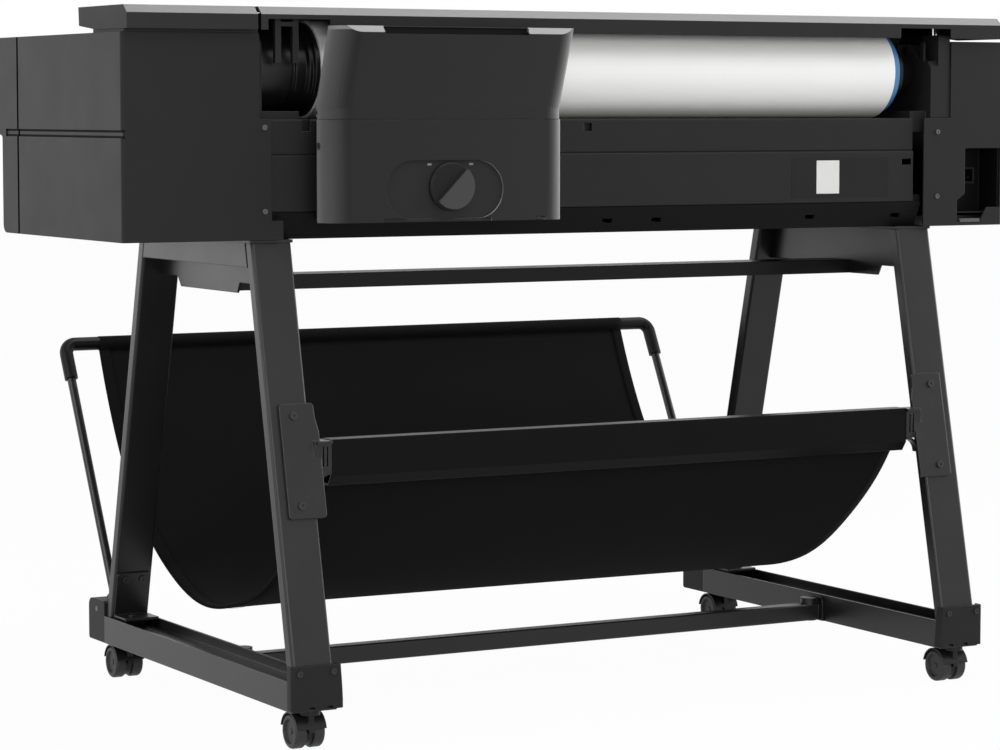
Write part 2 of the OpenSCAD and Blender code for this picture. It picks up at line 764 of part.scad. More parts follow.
// The power inlet's opening: tall on the outside, with a foot that reaches down and inwards
inlet_in = 26.6 - right_in;
module inlet_cut(y0, y1) {
    out = half_w - wall - 1;
    along_y([
        [-out, body_z + 26],
        [-inlet_in - 40, body_z + 26],
        [-inlet_in - 28, body_z + 5],
        [-inlet_in + 14, body_z + 5],
        [-inlet_in + 14, body_z + 36],
        [-inlet_in, body_z + 46],
        [-inlet_in, body_z + 112],
        [-out, body_z + 112]
    ], y0, y1);
}
// Bay behind the opening, with the inlet's collar, its three pins and a cable tab
module power_inlet() {
    out = half_w - wall - lay - 1;
    in = inlet_in - 18;
    depth = 46;
    x = -inlet_in - 22;
    z = body_z + 72;
    color(black) at_rear() union() {
        difference() {
            block(-out, -in, -wall - lay - depth, -wall - lay, body_z + 18, body_z + 116);
            block(-out + 2, -in - 2, -wall - lay - depth + 2, 0, body_z + 20, body_z + 114);
        }
        difference() {
            block(x - 15, x + 15, -depth - wall, -depth + 20, z - 12, z + 12);
            block(x - 12, x + 12, -depth + 2, -depth + 30, z - 9, z + 9);
        }
        for (p = [[-7, -3], [7, -3], [0, 4]])
            block(x + p.x - 2, x + p.x + 2, -depth, -depth + 16, z + p.y - 1, z + p.y + 1);
    }
}

// Front corners of the casing, with the upper part reaching forward
brow_bevel = 32;
module front_corner(side, inner) {
    back = -side_seam - side_gap;
    lip = body_z + groove_z;
    outline = rounded([
        [back, body_z],
        [front_y, body_z],
        [front_y, lip],
        [brow_y, lip + groove_h],
        [brow_y, body_top - brow_bevel],
        [brow_y + brow_bevel, body_top],
        [back, body_top]
    ], [0, 12, 4, 6, 8, 8, 0]);
    hollow = [
        [back + 1, body_z - 1],
        [front_y + wall, body_z - 1],
        [front_y + wall, lip + wall],
        [brow_y + wall, lip + groove_h + wall],
        [brow_y + wall, body_top - brow_bevel],
        [brow_y + brow_bevel, body_top - wall],
        [back + 1, body_top - wall]
    ];
    color(side_grey) at_rear() mirror([side < 0 ? 1 : 0, 0, 0]) difference() {
        union() {
            difference() {
                along_x(outline, inner, half_w);
                along_x(hollow, inner + wall, half_w - wall);
            }
            if (side > 0)
                screen_pocket(4);
        }
        block(inner - 1, inner + wall + 1, front_y + wall, back + 1, body_z - 1, lip);
        block(half_w - groove_d, half_w + 1, front_y + 14, back + 1, lip, lip + groove_h);
        if (side > 0) {
            screen_pocket(0);
            rod_x(left_in + screen_in - 5, half_w - screen_in + 5, screen_y, screen_z, pin_r + run_fit);
        }
    }
}
module left_front_corner() front_corner(1, left_in);
module right_front_corner() front_corner(-1, -right_in);

// The control panel lies in a pocket in the top of the left front corner and tilts up on its front edge
screen_in = 20;
screen_d = 54;
screen_y = -side_seam - 9 - screen_d;
screen_z = body_top - 5;
module screen_pocket(grow) {
    block(left_in + screen_in - grow, half_w - screen_in + grow,
          screen_y - 6 - grow, screen_y + screen_d + 1 + grow, body_top - 12 - grow,
          body_top - 1 + (grow > 0 ? 0 : 3));
}
module control_panel() {
    x0 = left_in + screen_in + lay;
    x1 = half_w - screen_in - lay;
    color(black) at_rear() difference() {
        union() {
            along_x(rounded(rect(screen_y, screen_y + screen_d, screen_z - 5, screen_z + 4), [0, 2, 2, 2]),
                    x0, x1);
            rod_x(x0, x1, screen_y, screen_z, 4.5);
        }
        block(x0 + 8, x1 - 8, screen_y + 10, screen_y + screen_d - 8, screen_z + 3, big);
        rod_x(-big, big, screen_y, screen_z, pin_r + run_fit);
    }
}

// Rear panels: each lies over a lip of the piece above or below it, and a dark gap is left at the right
panel_gap = 15;
panel_left = left_low_in - seam;
panel_right = right_low_in + panel_gap;
upper_face = -panel_setback;
lower_face = -panel_setback + 2;
module rear_upper_panel() {
    inner = upper_face - wall;
    color(charcoal) at_rear() difference() {
        along_x(rounded([
            [upper_face, split_z + 2],
            [upper_face, panel_z],
            [trough_rear + lay, panel_z],
            [trough_rear + lay, panel_z - wall],
            [inner, panel_z - wall],
            [inner, split_z + 4],
            [lower_face - wall - lay - 2, split_z - 2],
            [lower_face - wall - lay - 2, split_z - 12],
            [lower_face - wall - lay, split_z - 12],
            [lower_face - wall - lay, split_z + 1]
        ], [0, 3, 0, 0, 0, 0, 0, 0, 0, 0]), panel_right, panel_left);
        block(hole_x - 6, hole_x + 6, -big, big, panel_z - 17, panel_z - 6);
        block(feeder_left - 6, feeder_left + 6, -big, big, panel_z - 16, big);
    }
}
hole_x = feeder_right - 70;
trough_rear = -panel_setback - 3 - wall;
module rear_lower_panel() {
    color(charcoal) at_rear() difference() {
        along_x(rounded([
            [lower_face, sill_z + 2],
            [lower_face, split_z],
            [lower_face - wall, split_z],
            [lower_face - wall, sill_z + 2]
        ], [1, 2, 0, 0]), panel_right, panel_left);
        block(panel_right + 3, panel_right + 20, -big, big, split_z - 20, split_z - 11);
    }
}
// Sloped lower edge with hand slots and a foot that meets the tray
module rear_sill() {
    color(black) at_rear() difference() {
        along_x([
            [lower_face - wall - lay, sill_z + 12],
            [lower_face - wall - lay, sill_z + 1],
            [lower_face, sill_z + 1],
            [sill_foot + lay + 6, body_z],
            [sill_foot + lay, body_z],
            [sill_foot + lay, body_z + 4],
            [lower_face - wall - lay - 2, sill_z],
            [lower_face - wall - lay - 2, sill_z + 12]
        ], right_low_in + seam, panel_left);
        for (k = [0.171, 0.3, 0.718, 0.96])
            translate([feeder_right - k * panel_run, 0, 0]) block(-8, 8, -big, big, body_z + 13, body_z + 19);
    }
}
panel_run = feeder_right - panel_right;
// Front of the casing below the output slot, with a chute that starts at the platen
module front_panel() {
    lip = body_z + groove_z - 12;
    color(charcoal) at_rear() along_x([
        [front_y, body_z + 1],
        [front_y, lip],
        [platen_front - lay, platen_z],
        [platen_front - lay, platen_z - wall],
        [front_y + wall, lip - wall - 2],
        [front_y + wall, body_z + 1]
    ], right_in + seam, left_in - seam);
}
platen_front = front_y + 26;
// Screws of the end caps and the cable tab at the foot of the power inlet
module rear_fittings() {
    color(bright) at_rear() {
        for (z = [body_z + 37, body_z + 145])
            translate([left_low_in + 10, 0, z]) rotate([-90, 0, 0]) pan_head(3.5);
        for (z = [body_z + 43, body_z + 136])
            translate([right_low_in - 24, 0, z]) rotate([-90, 0, 0]) pan_head(3.5);
        along_y(rounded(rect(-inlet_in - 27, -inlet_in + 8, body_z + 5, body_z + 10), 1.5), -wall, 0.8);
    }
}

// Roll holder

// Round-bottomed trough between the brackets, front wall, deck, the ears of both hinges and a ridge between
// the ears of the cover that closes the gap under it
module roll_trough() {
    low = roll_z - trough_r - 9;
    mid_left = roll_x + bracket_in - seam;
    mid_right = roll_x - bracket_in + seam;
    wall_y = trough_wall_y - trough_t;
    color(charcoal) at_rear() union() {
        difference() {
            union() {
                difference() {
                    along_x([
                        [trough_rear, low],
                        [trough_rear, panel_z],
                        [trough_wall_y, panel_z],
                        [trough_wall_y, deck_z],
                        [wall_y, deck_z],
                        [wall_y, low]
                    ], mid_right, mid_left);
                    rod_x(mid_right - 1, mid_left + 1, roll_y, roll_z, trough_r);
                }
                along_x([
                    [trough_wall_y, low],
                    [trough_wall_y, deck_z],
                    [deck_y, deck_z],
                    [deck_y, deck_z - 4],
                    [wall_y, deck_z - 4],
                    [wall_y, low]
                ], right_in + seam, left_in - seam);
                for (x = [mid_right + 20, roll_x, mid_left - 28])
                    block(x, x + 8, wall_y + 8, roll_y + 20, body_z + steel_t, low + 1);
                for (x = cover_ears)
                    along_x(rounded([
                        [trough_wall_y, deck_z - 1],
                        [cover_hinge_y + knuckle_r, cover_hinge_z],
                        [cover_hinge_y + knuckle_r, cover_hinge_z + knuckle_r],
                        [cover_hinge_y - knuckle_r, cover_hinge_z + knuckle_r],
                        [cover_hinge_y - knuckle_r - 4, deck_z - 1]
                    ], [0, 2, 4, 4, 0]), x, x + ear_t);
                for (x = window_ears)
                    along_x(rounded([
                        [deck_y + 1, deck_z],
                        [window_hinge_y - window_r, deck_z],
                        [window_hinge_y - window_r, window_hinge_z - window_r],
                        [window_hinge_y, window_hinge_z - window_r],
                        [deck_y + 8, deck_z - 3]
                    ], [0, 4, 4, 0, 0]), x, x + ear_t);
            }
            rod_x(-big, big, cover_hinge_y, cover_hinge_z, pin_r + run_fit);
            rod_x(-big, big, window_hinge_y, window_hinge_z, pin_r + run_fit);
        }
        along_x([
            [trough_wall_y, deck_z - 1],
            [cover_hinge_y + 4, cover_hinge_z],
            [cover_hinge_y + 4, cover_top - cover_t - 1],
            [cover_hinge_y - 4, cover_top - cover_t - 1],
            [wall_y, deck_z - 1]
        ], cover_ears[0] + 3 * ear_t + 2 * lay, cover_ears[1] - 2 * ear_t - 2 * lay);
    }
}
cover_ears = [roll_x - bracket_out + 2, roll_x + bracket_out - 2 - ear_t];
window_ears = [right_in + seam, left_in - seam - ear_t];

// Low block under the hub, a cheek notched from above for the spindle and a shield on the far side of the hub
column_w = 34;
module spindle_bracket(cheek, outline) {
    foot_z = roll_z - trough_r - 9;
    base_z = roll_z - drum_r - 3;
    front = trough_wall_y + 2;
    shield = [roll_y - drum_r - 9, roll_y - drum_r - 2];
    translate([roll_x, 0, 0]) difference() {
        union() {
            block(bracket_in, bracket_out, front, trough_rear, foot_z, base_z);
            block(bracket_in, bracket_out, shield[0], shield[1], foot_z + 1, cover_top - cover_t - 4);
            block(bracket_in - 10, bracket_in + 1, shield[0], shield[1], roll_z - 20, cover_top - cover_t - 4);
            along_x(outline, bracket_out - cheek, bracket_out);
            children();
        }
        rod_x(-big, big, roll_y, roll_z, journal_r + run_fit);
        block(0, big, roll_y - journal_r - run_fit, roll_y + journal_r + run_fit, roll_z, big);
    }
}
module left_spindle_bracket() {
    color(charcoal) at_rear() spindle_bracket(9, rounded(
        rect(trough_wall_y + 2, trough_rear, roll_z - trough_r - 9, body_top - 3), [0, 0, 12, 12]));
}
// The right cheek is a wide column with a ramp on top and a fin that fills the notch in the cover
module right_spindle_bracket() {
    rear = -2;
    top = roll_z + 17;
    ramp = roll_z + 41;
    inner = bracket_out - column_w;
    color(charcoal) at_rear() translate([2 * roll_x, 0, 0]) mirror([1, 0, 0]) spindle_bracket(column_w, [
        [trough_wall_y + 2, roll_z - trough_r - 9],
        [trough_rear, roll_z - trough_r - 9],
        [trough_rear, panel_z + lay],
        [rear, panel_z + lay],
        [rear, top - 10],
        [rear - 8, top],
        [rear - 25, top],
        [rear - 56, ramp],
        [trough_wall_y + 2, ramp]
    ]) {
        along_x(rounded(rect(rear - 38, rear, panel_z + lay + 1, body_top + 9), [0, 0, 3, 3]), inner + 13,
                bracket_out - 1);
        block(inner, inner + 3, rear - 28, rear - 18, top - 1, ramp + 3);
    }
}
// Rod with a flanged drum at its left end and the sliding hub at its right end
module spindle() {
    half = bracket_out - 8;
    end = roll_len / 2;
    hub = -end - stop_t - lay;
    color(black) at_rear() translate([roll_x, roll_y, roll_z]) rotate([0, 90, 0]) union() {
        translate([0, 0, -half]) cylinder(h = 2 * half, r = journal_r);
        rotate_extrude() polygon(rounded([
            [0, end + lay],
            [flange_r, end + lay],
            [flange_r, end + flange_t * 0.4],
            [flange_r - 5, end + flange_t * 0.5],
            [flange_r - 5, end + flange_t * 0.8],
            [drum_r, end + flange_t],
            [drum_r, end + flange_t + 14],
            [drum_r - 3, end + flange_t + 16],
            [drum_r - 3, end + flange_t + 19],
            [drum_r, end + flange_t + 21],
            [drum_r, drum_end - 3],
            [drum_r - 3, drum_end],
            [0, drum_end]
        ], [0, 1, 1, 1, 1, 0, 1, 0, 0, 1, 0, 0, 0]));
        rotate_extrude() polygon(rounded([
            [0, hub],
            [46, hub],
            [46, hub - 10],
            [36, hub - 14],
            [30, column_w - bracket_out + 2],
            [0, column_w - bracket_out + 2]
        ], [0, 1, 2, 2, 2, 0]));
    }
}
// Coloured stop that is pushed against the roll's right end
module core_stop() {
    end = roll_len / 2;
    color([0.25, 0.5, 0.75]) at_rear() translate([roll_x, roll_y, roll_z]) rotate([0, 90, 0]) difference() {
        rotate_extrude() polygon(rounded([
            [journal_r + run_fit, -end - lay],
            [stop_r, -end - lay],
            [stop_r, -end - stop_t * 0.7],
            [stop_r - 8, -end - stop_t],
            [journal_r + run_fit, -end - stop_t]
        ], [0, 2, 2, 1, 0]));
        for (k = [0:5])
            rotate([0, 0, k * 60]) translate([34, 0, -end - stop_t - 1]) cylinder(h = stop_t + 2, r = 6);
    }
}
module paper_core() {
    color([0.6, 0.48, 0.34]) at_rear() translate([roll_x - roll_len / 2, roll_y, roll_z]) rotate([0, 90, 0])
        difference() {
            cylinder(h = roll_len, r = core_r);
            translate([0, 0, -1]) cylinder(h = roll_len + 2, r = journal_r + run_fit);
        }
}
module paper_roll() {
    color([0.93, 0.93, 0.91]) at_rear() translate([roll_x - roll_len / 2, roll_y, roll_z]) rotate([0, 90, 0])
        difference() {
            cylinder(h = roll_len, r = roll_r);
            translate([0, 0, -1]) cylinder(h = roll_len + 2, r = core_r + run_fit);
        }
}

// Bent sheet with a bevelled rear edge, an outline in Y and Z
function cover_sheet() = [
    [cover_out, cover_z],
    [cover_out, cover_top - cover_bevel],
    [cover_out - cover_bevel * 1.1, cover_top],
    [cover_front, cover_top],
    [cover_front, cover_top - cover_t],
    [cover_out - cover_bevel * 1.1 - cover_t * 0.4, cover_top - cover_t],
    [cover_out - cover_t, cover_top - cover_bevel - cover_t * 0.4],
    [cover_out - cover_t, cover_z]
];
function cover_end() = [
    [cover_out, cover_z],
    [cover_out, cover_top - cover_bevel],
    [cover_out - cover_bevel * 1.1, cover_top],
    [cover_front, cover_top],
    [cover_front + 2, cover_z + 6],
    [cover_front + 60, cover_z]
];
// The cover carries a fork that comes down behind the drum when it is shut
module roll_cover() {
    left = cover_split - 5;
    right = -half_w + 12;
    notch = [roll_len / 2 - 4, bracket_out - 8];
    fork = [bracket_out - 57, bracket_out - 24];
    color(charcoal) at_rear() difference() {
        union() {
            along_x(cover_sheet(), right, left);
            along_x(cover_end(), right, right + cover_t);
            for (x = [cover_ears[0] + ear_t + lay, cover_ears[1] - lay - 2 * ear_t]) {
                rod_x(x, x + 2 * ear_t, cover_hinge_y, cover_hinge_z, knuckle_r);
                block(x, x + 2 * ear_t, cover_hinge_y - 4, cover_hinge_y + 4, cover_hinge_z, cover_top - 1);
            }
            translate([roll_x, -11, 0]) {
                for (x = [fork[0], fork[1] - 8])
                    block(x, x + 8, 0, 8, roll_z + 7, cover_top - 1);
                block(fork[0], fork[1], 0, 8, cover_z + 5, cover_z + 11);
            }
        }
        for (side = [1, -1])
            translate([roll_x, 0, 0]) mirror([side < 0 ? 1 : 0, 0, 0])
                block(notch[0], notch[1], 0, big, 0, cover_z + 14);
        rod_x(-big, big, cover_hinge_y, cover_hinge_z, pin_r + run_fit);
    }
}
// Fixed left end of the roll cover, on a neck
module cover_end_piece() {
    right = cover_split;
    left = half_w - 4;
    color(charcoal) at_rear() union() {
        difference() {
            along_x(cover_end(), right, left);
            block(right + cover_t, left - cover_t, cover_front + cover_t, cover_out - cover_t - 8, 0,
                  cover_top - cover_t);
        }
        block(left_in + seam, left - 1, cover_front + 48, -wall, body_top, cover_z + 2);
    }
}

// Sheet feeder

function feeder_plan(inset) = rounded([
    [feeder_right + shell_in + inset, lower_face + inset],
    [feeder_left - shell_in - inset, lower_face + inset],
    [feeder_left - shell_in - inset, shell_y + inset],
    [feeder_left - inset, shell_y + inset],
    [feeder_left - inset, feeder_out - inset],
    [feeder_right + inset, feeder_out - inset],
    [feeder_right + inset, shell_y + inset],
    [feeder_right + shell_in + inset, shell_y + inset]
], [0, 0, 0, 0, feeder_corner - inset, feeder_corner - inset, 0, 0], 10);
// Open box, narrower where it meets the casing, with rounded corners, a round-ended recess for the knob
// and ears for the paper support
module feeder_box() {
    ear = support_y;
    color(charcoal) at_rear() difference() {
        union() {
            difference() {
                along_z(feeder_plan(0), feeder_z, feeder_top);
                along_z(feeder_plan(wall), feeder_z + wall, big);
            }
            knob_recess(recess_d + wall, wall);
            for (x = [feeder_left - 2 * wall - ear_t - 6, feeder_right + 2 * wall + 6])
                along_x(rounded([
                    [ear - 12, feeder_top - 26],
                    [ear + 12, feeder_top - 26],
                    [ear + 7, support_z + 7],
                    [ear - 7, support_z + 7]
                ], [0, 0, 6, 6]), x, x + ear_t);
            for (x = [feeder_left - 2 * wall - ear_t - 6, feeder_right + wall - 1])
                block(x, x + ear_t + wall + 7, shell_y, ear + 10, feeder_top - 26, feeder_top - 22);
        }
        knob_recess(recess_d, 0);
        rod_y(0, big, feeder_x, knob_z, knob_shaft_r + run_fit);
        rod_x(-big, big, support_y, support_z, pin_r + run_fit);
        rod_x(feeder_right - 1, feeder_left + 1, pickup_y, pickup_z, pickup_r + run_fit);
        block(feeder_right + 34, feeder_right + 50, 0, big, feeder_z - 1, feeder_z + 5);
        block(feeder_x - 60, feeder_x + 100, feeder_out - 2, big, feeder_z - 1, feeder_z + 5);
    }
}
// The recess is a straight slot between two half circles
module knob_recess(depth, grow) {
    reach = knob_r + 10 + grow;
    for (x = [feeder_x - 40, feeder_x + 57])
        rod_y(feeder_out - depth, feeder_out + (grow > 0 ? 0 : 1), x, knob_z - 4, reach - 4);
    block(feeder_x - 40, feeder_x + 57, feeder_out - depth, feeder_out + (grow > 0 ? 0 : 1), knob_z - reach,
          knob_z + reach - 8);
}
// Rounded wall that stands on the box and leans back, cut level, with a bevelled rim and a finger slot in it
module paper_support() {
    foot_z = feeder_top + seam;
    rise = (support_h - support_foot) / cos(support_lean);
    top = feeder_top + support_h;
    rear = feeder_out + (support_h - support_foot) * tan(support_lean);
    rim = wall + 9;
    bevel = 8;
    step = 0.5;
    slot_x = feeder_x + 8;
    color(charcoal) at_rear() difference() {
        union() {
            intersection() {
                difference() {
                    along_z(feeder_arc(step, support_y + 2, 2), foot_z, support_bend + feeder_corner);
                    along_z(feeder_arc(step + wall, -feeder_corner, 2), 0, big);
                }
                on_lean(support_lean / 2) block(-big, big, -big, big, -big, 2);
            }
            intersection() {
                on_lean(support_lean) translate([0, -feeder_out, 0]) difference() {
                    along_z(feeder_arc(0, support_y + 2), -feeder_corner, rise);
                    along_z(feeder_arc(wall, -feeder_corner), -big, rise - 28);
                    along_z(feeder_arc(rim, -feeder_corner), -big, big);
                }
                block(-big, big, -big, big, support_bend - 4, top - 0.1);
            }
            for (x = [feeder_left - wall - 5, feeder_right + wall - 1])
                rod_x(x, x + 6, support_y, support_z, pin_r + 4);
        }
        along_x([
            [rear - bevel - 0.6, top + 1],
            [rear + 9, top + 1],
            [rear + 9, top - (bevel + 9) / 0.6]
        ], -big, big);
        along_y([
            [slot_x - 104, top - 10],
            [slot_x + 104, top - 10],
            [slot_x + 107, top - 1.8],
            [slot_x - 107, top - 1.8]
        ], rear - 11, big);
        rod_x(-big, big, support_y, support_z, pin_r + run_fit);
    }
}
support_bend = feeder_top + support_foot;
// Turns what is drawn about the line where the support bends
module on_lean(angle) {
    translate([0, feeder_out, support_bend]) rotate([-angle, 0, 0]) children();
}
// The rear corners of the feeder's outline, closed along a straight front
function feeder_arc(inset, front, more = 0) =
    let (r = feeder_corner - inset + more, left = feeder_left - inset, right = feeder_right + inset)
    let (rear = feeder_out - inset)
    concat(
        [[left, front]],
        corner_arc([left, rear], [left, -big], [-big, rear], r, 10),
        corner_arc([right, rear], [big, rear], [right, -big], r, 10),
        [[right, front]]
    );
// Round knob, one half raised along a slanted edge, with a shaft into the box
module lock_knob() {
    face = feeder_out - recess_d + lay;
    color(black) at_rear() translate([feeder_x, face, knob_z]) rotate([-90, 0, 0]) union() {
        rotate_extrude()
            polygon(rounded([[0, 0], [knob_r, 0], [knob_r, 4], [knob_r - 2, 6], [0, 6]], [0, 1, 1, 1, 0]));
        intersection() {
            cylinder(h = 12, r = knob_r - 2);
            rotate([0, 0, 45]) block(-big, big, -2, big, 0, big);
        }
        translate([0, 0, -wall - recess_d]) cylinder(h = wall + recess_d + 1, r = knob_shaft_r);
    }
}
// Shaft across the feeder with two rubber sleeves
module pickup_roller() {
    sleeve = 24;
    color(black) at_rear() union() {
        rod_x(feeder_right + 0.5, feeder_left - 0.5, pickup_y, pickup_z, pickup_r);
        for (x = [feeder_x - 70, feeder_x + 70])
            rod_x(x - sleeve / 2, x + sleeve / 2, pickup_y, pickup_z, 14);
    }
}

// Print mechanism

// Upright plates in the end caps that carry the carriage rail and the belt's pulleys
module side_plates() {
    color(inner_grey) at_rear() for (side = [1, -1]) mirror([side < 0 ? 1 : 0, 0, 0]) difference() {
        union() {
            along_x(rounded(rect(rod_y - 70, rod_y + 60, body_z + steel_t, belt_z + 18), [0, 0, 20, 20]),
                    plate_x, plate_x + steel_t);
            block(plate_x - 26, plate_x + 1, belt_y - 12, belt_y + 12, belt_z - 12, belt_z - 8);
        }
        rod_x(0, big, rod_y, rod_z, rod_r + run_fit);
    }
}
module carriage_rail() {
    color(bright) at_rear() rod_x(-plate_x - steel_t, plate_x + steel_t, rod_y, rod_z, rod_r);
}
// Carriage that slides on the rail, with nozzle blocks below and a belt clamp behind
module print_carriage() {
    half = 58;
    low = platen_z + 14;
    color(black) at_rear() difference() {
        union() {
            along_x(rounded([
                [rod_y - 78, low + 12],
                [rod_y + 22, low + 12],
                [rod_y + 22, rod_z + 26],
                [rod_y - 40, rod_z + 36],
                [rod_y - 78, rod_z + 10]
            ], [4, 4, 6, 10, 14]), park_x - half, park_x + half);
            for (x = [-40, 4])
                block(park_x + x, park_x + x + 36, rod_y - 66, rod_y - 6, low, low + 14);
            block(park_x - 12, park_x + 12, rod_y + 20, belt_y - 6 - 1 - lay, belt_z - 4, belt_z + 4);
        }
        rod_x(-big, big, rod_y, rod_z, rod_r + run_fit);
        for (x = [-48, -22, 4, 30])
            block(park_x + x, park_x + x + 18, rod_y - 70, rod_y - 16, rod_z + 16, big);
    }
}
// Belt loop round a pulley at each end
module carriage_belt() {
    pulley_x = plate_x - 14;
    color(black) at_rear() union() {
        difference() {
            belt_loop(7, 6);
            belt_loop(6 + lay, 8);
        }
        for (x = [-pulley_x, pulley_x])
            translate([x, belt_y, belt_z - 8]) cylinder(h = 14, r = 6);
    }
}
module belt_loop(r, h) {
    pulley_x = plate_x - 14;
    for (x = [-pulley_x, pulley_x])
        translate([x, belt_y, belt_z - h / 2]) cylinder(h = h, r = r);
    block(-pulley_x, pulley_x, belt_y - r, belt_y + r, belt_z - h / 2, belt_z + h / 2);
}
// Ribbed plate on two cheeks that carry the feed roller
module platen() {
    left = left_low_in - 8;
    right = right_low_in + 8;
    rear = feed_y - feed_r - 2;
    rib = 46;
    color(inner_grey) at_rear() difference() {
        union() {
            block(right, left, platen_front, rear, platen_z - 5, platen_z - 2);
            for (x = [right + 10:rib:left - 10])
                block(x, x + 3, platen_front, rear, platen_z - 3, platen_z);
            for (x = [right - 3.5, left - 0.5])
                along_x([
                    [platen_front, platen_z],
                    [platen_front, platen_z - 24],
                    [rear - 60, body_z + steel_t],
                    [feed_y + 16, body_z + steel_t],
                    [feed_y + 16, platen_z]
                ], x, x + 4);
        }
        rod_x(-big, big, feed_y, feed_z, feed_shaft_r + run_fit);
    }
}
module feed_roller() {
    left = left_low_in - 8;
    right = right_low_in + 8;
    color([0.1, 0.1, 0.1]) at_rear() union() {
        rod_x(right - 3.5, left + 3.5, feed_y, feed_z, feed_shaft_r);
        rod_x(right + 0.5 + lay, left - 0.5 - lay, feed_y, feed_z, feed_r);
    }
}

// Open tray below the parked carriage, with wiper blades
module service_station() {
    left = plate_x - 8;
    right = left_low_in + 12;
    front = rod_y - 78;
    rear = rod_y + 10;
    top = platen_z - 8;
    color(inner_grey) at_rear() union() {
        difference() {
            block(right, left, front, rear, body_z + steel_t, top);
            block(right + 3, left - 3, front + 3, rear - 3, top - 30, big);
        }
        for (x = [park_x - 40:22:park_x + 40])
            block(x, x + 3, front + 14, rear - 14, top - 31, platen_z + 12);
    }
}
// Four ink tanks side by side in the right end
module ink_cartridges() {
    pitch = (right_low_in - 12 + plate_x - 8) / 4;
    color(black) at_rear() for (k = [0:3])
        translate([-plate_x + 6 + k * pitch, 0, 0]) along_x(rounded(
            rect(rod_y - 80, rod_y + 56, body_z + steel_t, body_z + 112), [2, 2, 10, 4]), 0, pitch - 2);
}

// Front window: top, sloped brow and apron in one sheet, hinged at its rear edge
module front_window() {
    t = 4;
    top = window_hinge_z + t / 2;
    left = left_in - seam;
    right = right_in + seam;
    apron = body_z + groove_z + groove_h + 4;
    color([0.12, 0.13, 0.15]) at_rear() difference() {
        union() {
            along_x([
                [window_hinge_y - window_r - 1, top],
                [brow_y + brow_bevel, top],
                [brow_y + 2, top - brow_bevel],
                [brow_y + 2, apron],
                [brow_y + 2 + t, apron],
                [brow_y + 2 + t, top - brow_bevel - t * 0.4],
                [brow_y + brow_bevel + t * 0.4, top - t],
                [window_hinge_y - window_r - 1, top - t]
            ], right, left);
            for (x = [window_ears[0] + ear_t + lay, window_ears[1] - lay - 2 * ear_t]) {
                rod_x(x, x + 2 * ear_t, window_hinge_y, window_hinge_z, window_r);
                block(x, x + 2 * ear_t, window_hinge_y - window_r - 2, window_hinge_y, top - t, top);
            }
        }
        rod_x(-big, big, window_hinge_y, window_hinge_z, pin_r + run_fit);
    }
}

// Pins of the roll cover, window, paper support, control panel and bin arms
module hinge_pins() {
    color(bright) at_rear() {
        for (x = [cover_ears[0], cover_ears[1] - 2 * ear_t - lay])
            rod_x(x, x + 3 * ear_t + lay, cover_hinge_y, cover_hinge_z, pin_r);
        for (x = [window_ears[0], window_ears[1] - 2 * ear_t - lay])
            rod_x(x, x + 3 * ear_t + lay, window_hinge_y, window_hinge_z, pin_r);
        rod_x(feeder_left - 2 * wall - ear_t - 6, feeder_left - 0.5, support_y, support_z, pin_r);
        rod_x(feeder_right + 0.5, feeder_right + 2 * wall + 6 + ear_t, support_y, support_z, pin_r);
        rod_x(left_in + screen_in - 4, half_w - screen_in + 4, screen_y, screen_z, pin_r);
        for (side = [1, -1])
            on_side(side) translate([stand_w / 2, 0, 0])
                rod_x(-rail_w / 2, rail_w / 2, pivot_y, pivot_z, pivot_r);
    }
}

left_rear_leg();
right_rear_leg();
front_legs();
top_rails();
left_foot_rail();
right_foot_rail();
foot_shoes();
bin_sockets();
rear_beam();
stand_brackets();
upper_crossbar();
lower_crossbar();
stand_bolts();
rear_left_hood();
rear_right_hood();
front_left_hood();
front_right_hood();
rear_left_wheels();
rear_right_wheels();
front_left_wheels();
front_right_wheels();
bin_arms();
bin_bar();
bin_elbows();
bin_sling();
base_tray();
left_end_cap();
right_end_cap();
left_front_corner();
right_front_corner();
rear_upper_panel();
rear_lower_panel();
rear_sill();
front_panel();
rear_fittings();
power_inlet();
roll_trough();
left_spindle_bracket();
right_spindle_bracket();
cover_end_piece();
roll_cover();
spindle();
core_stop();
paper_core();
paper_roll();
feeder_box();
paper_support();
lock_knob();
pickup_roller();
side_plates();
carriage_rail();
print_carriage();
carriage_belt();
platen();
feed_roller();
service_station();
ink_cartridges();
front_window();
control_panel();
hinge_pins();
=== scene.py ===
# %% [markdown]
# # A large format plotter, seen from behind
#
# The machine is a long dark casing on a wheeled stand. The CAD model already holds every rigid piece at
# its real size, so this lesson adds what CAD leaves plain: moulded grain, powder coat, paper, cloth and
# studio light. Everything is in metres, in the frame of the CAD model: the rear faces +Y, and +X is the
# end with the control panel.

# %% Load the frame
import json
import math

import bmesh
import bpy
from mathutils import Matrix, Vector


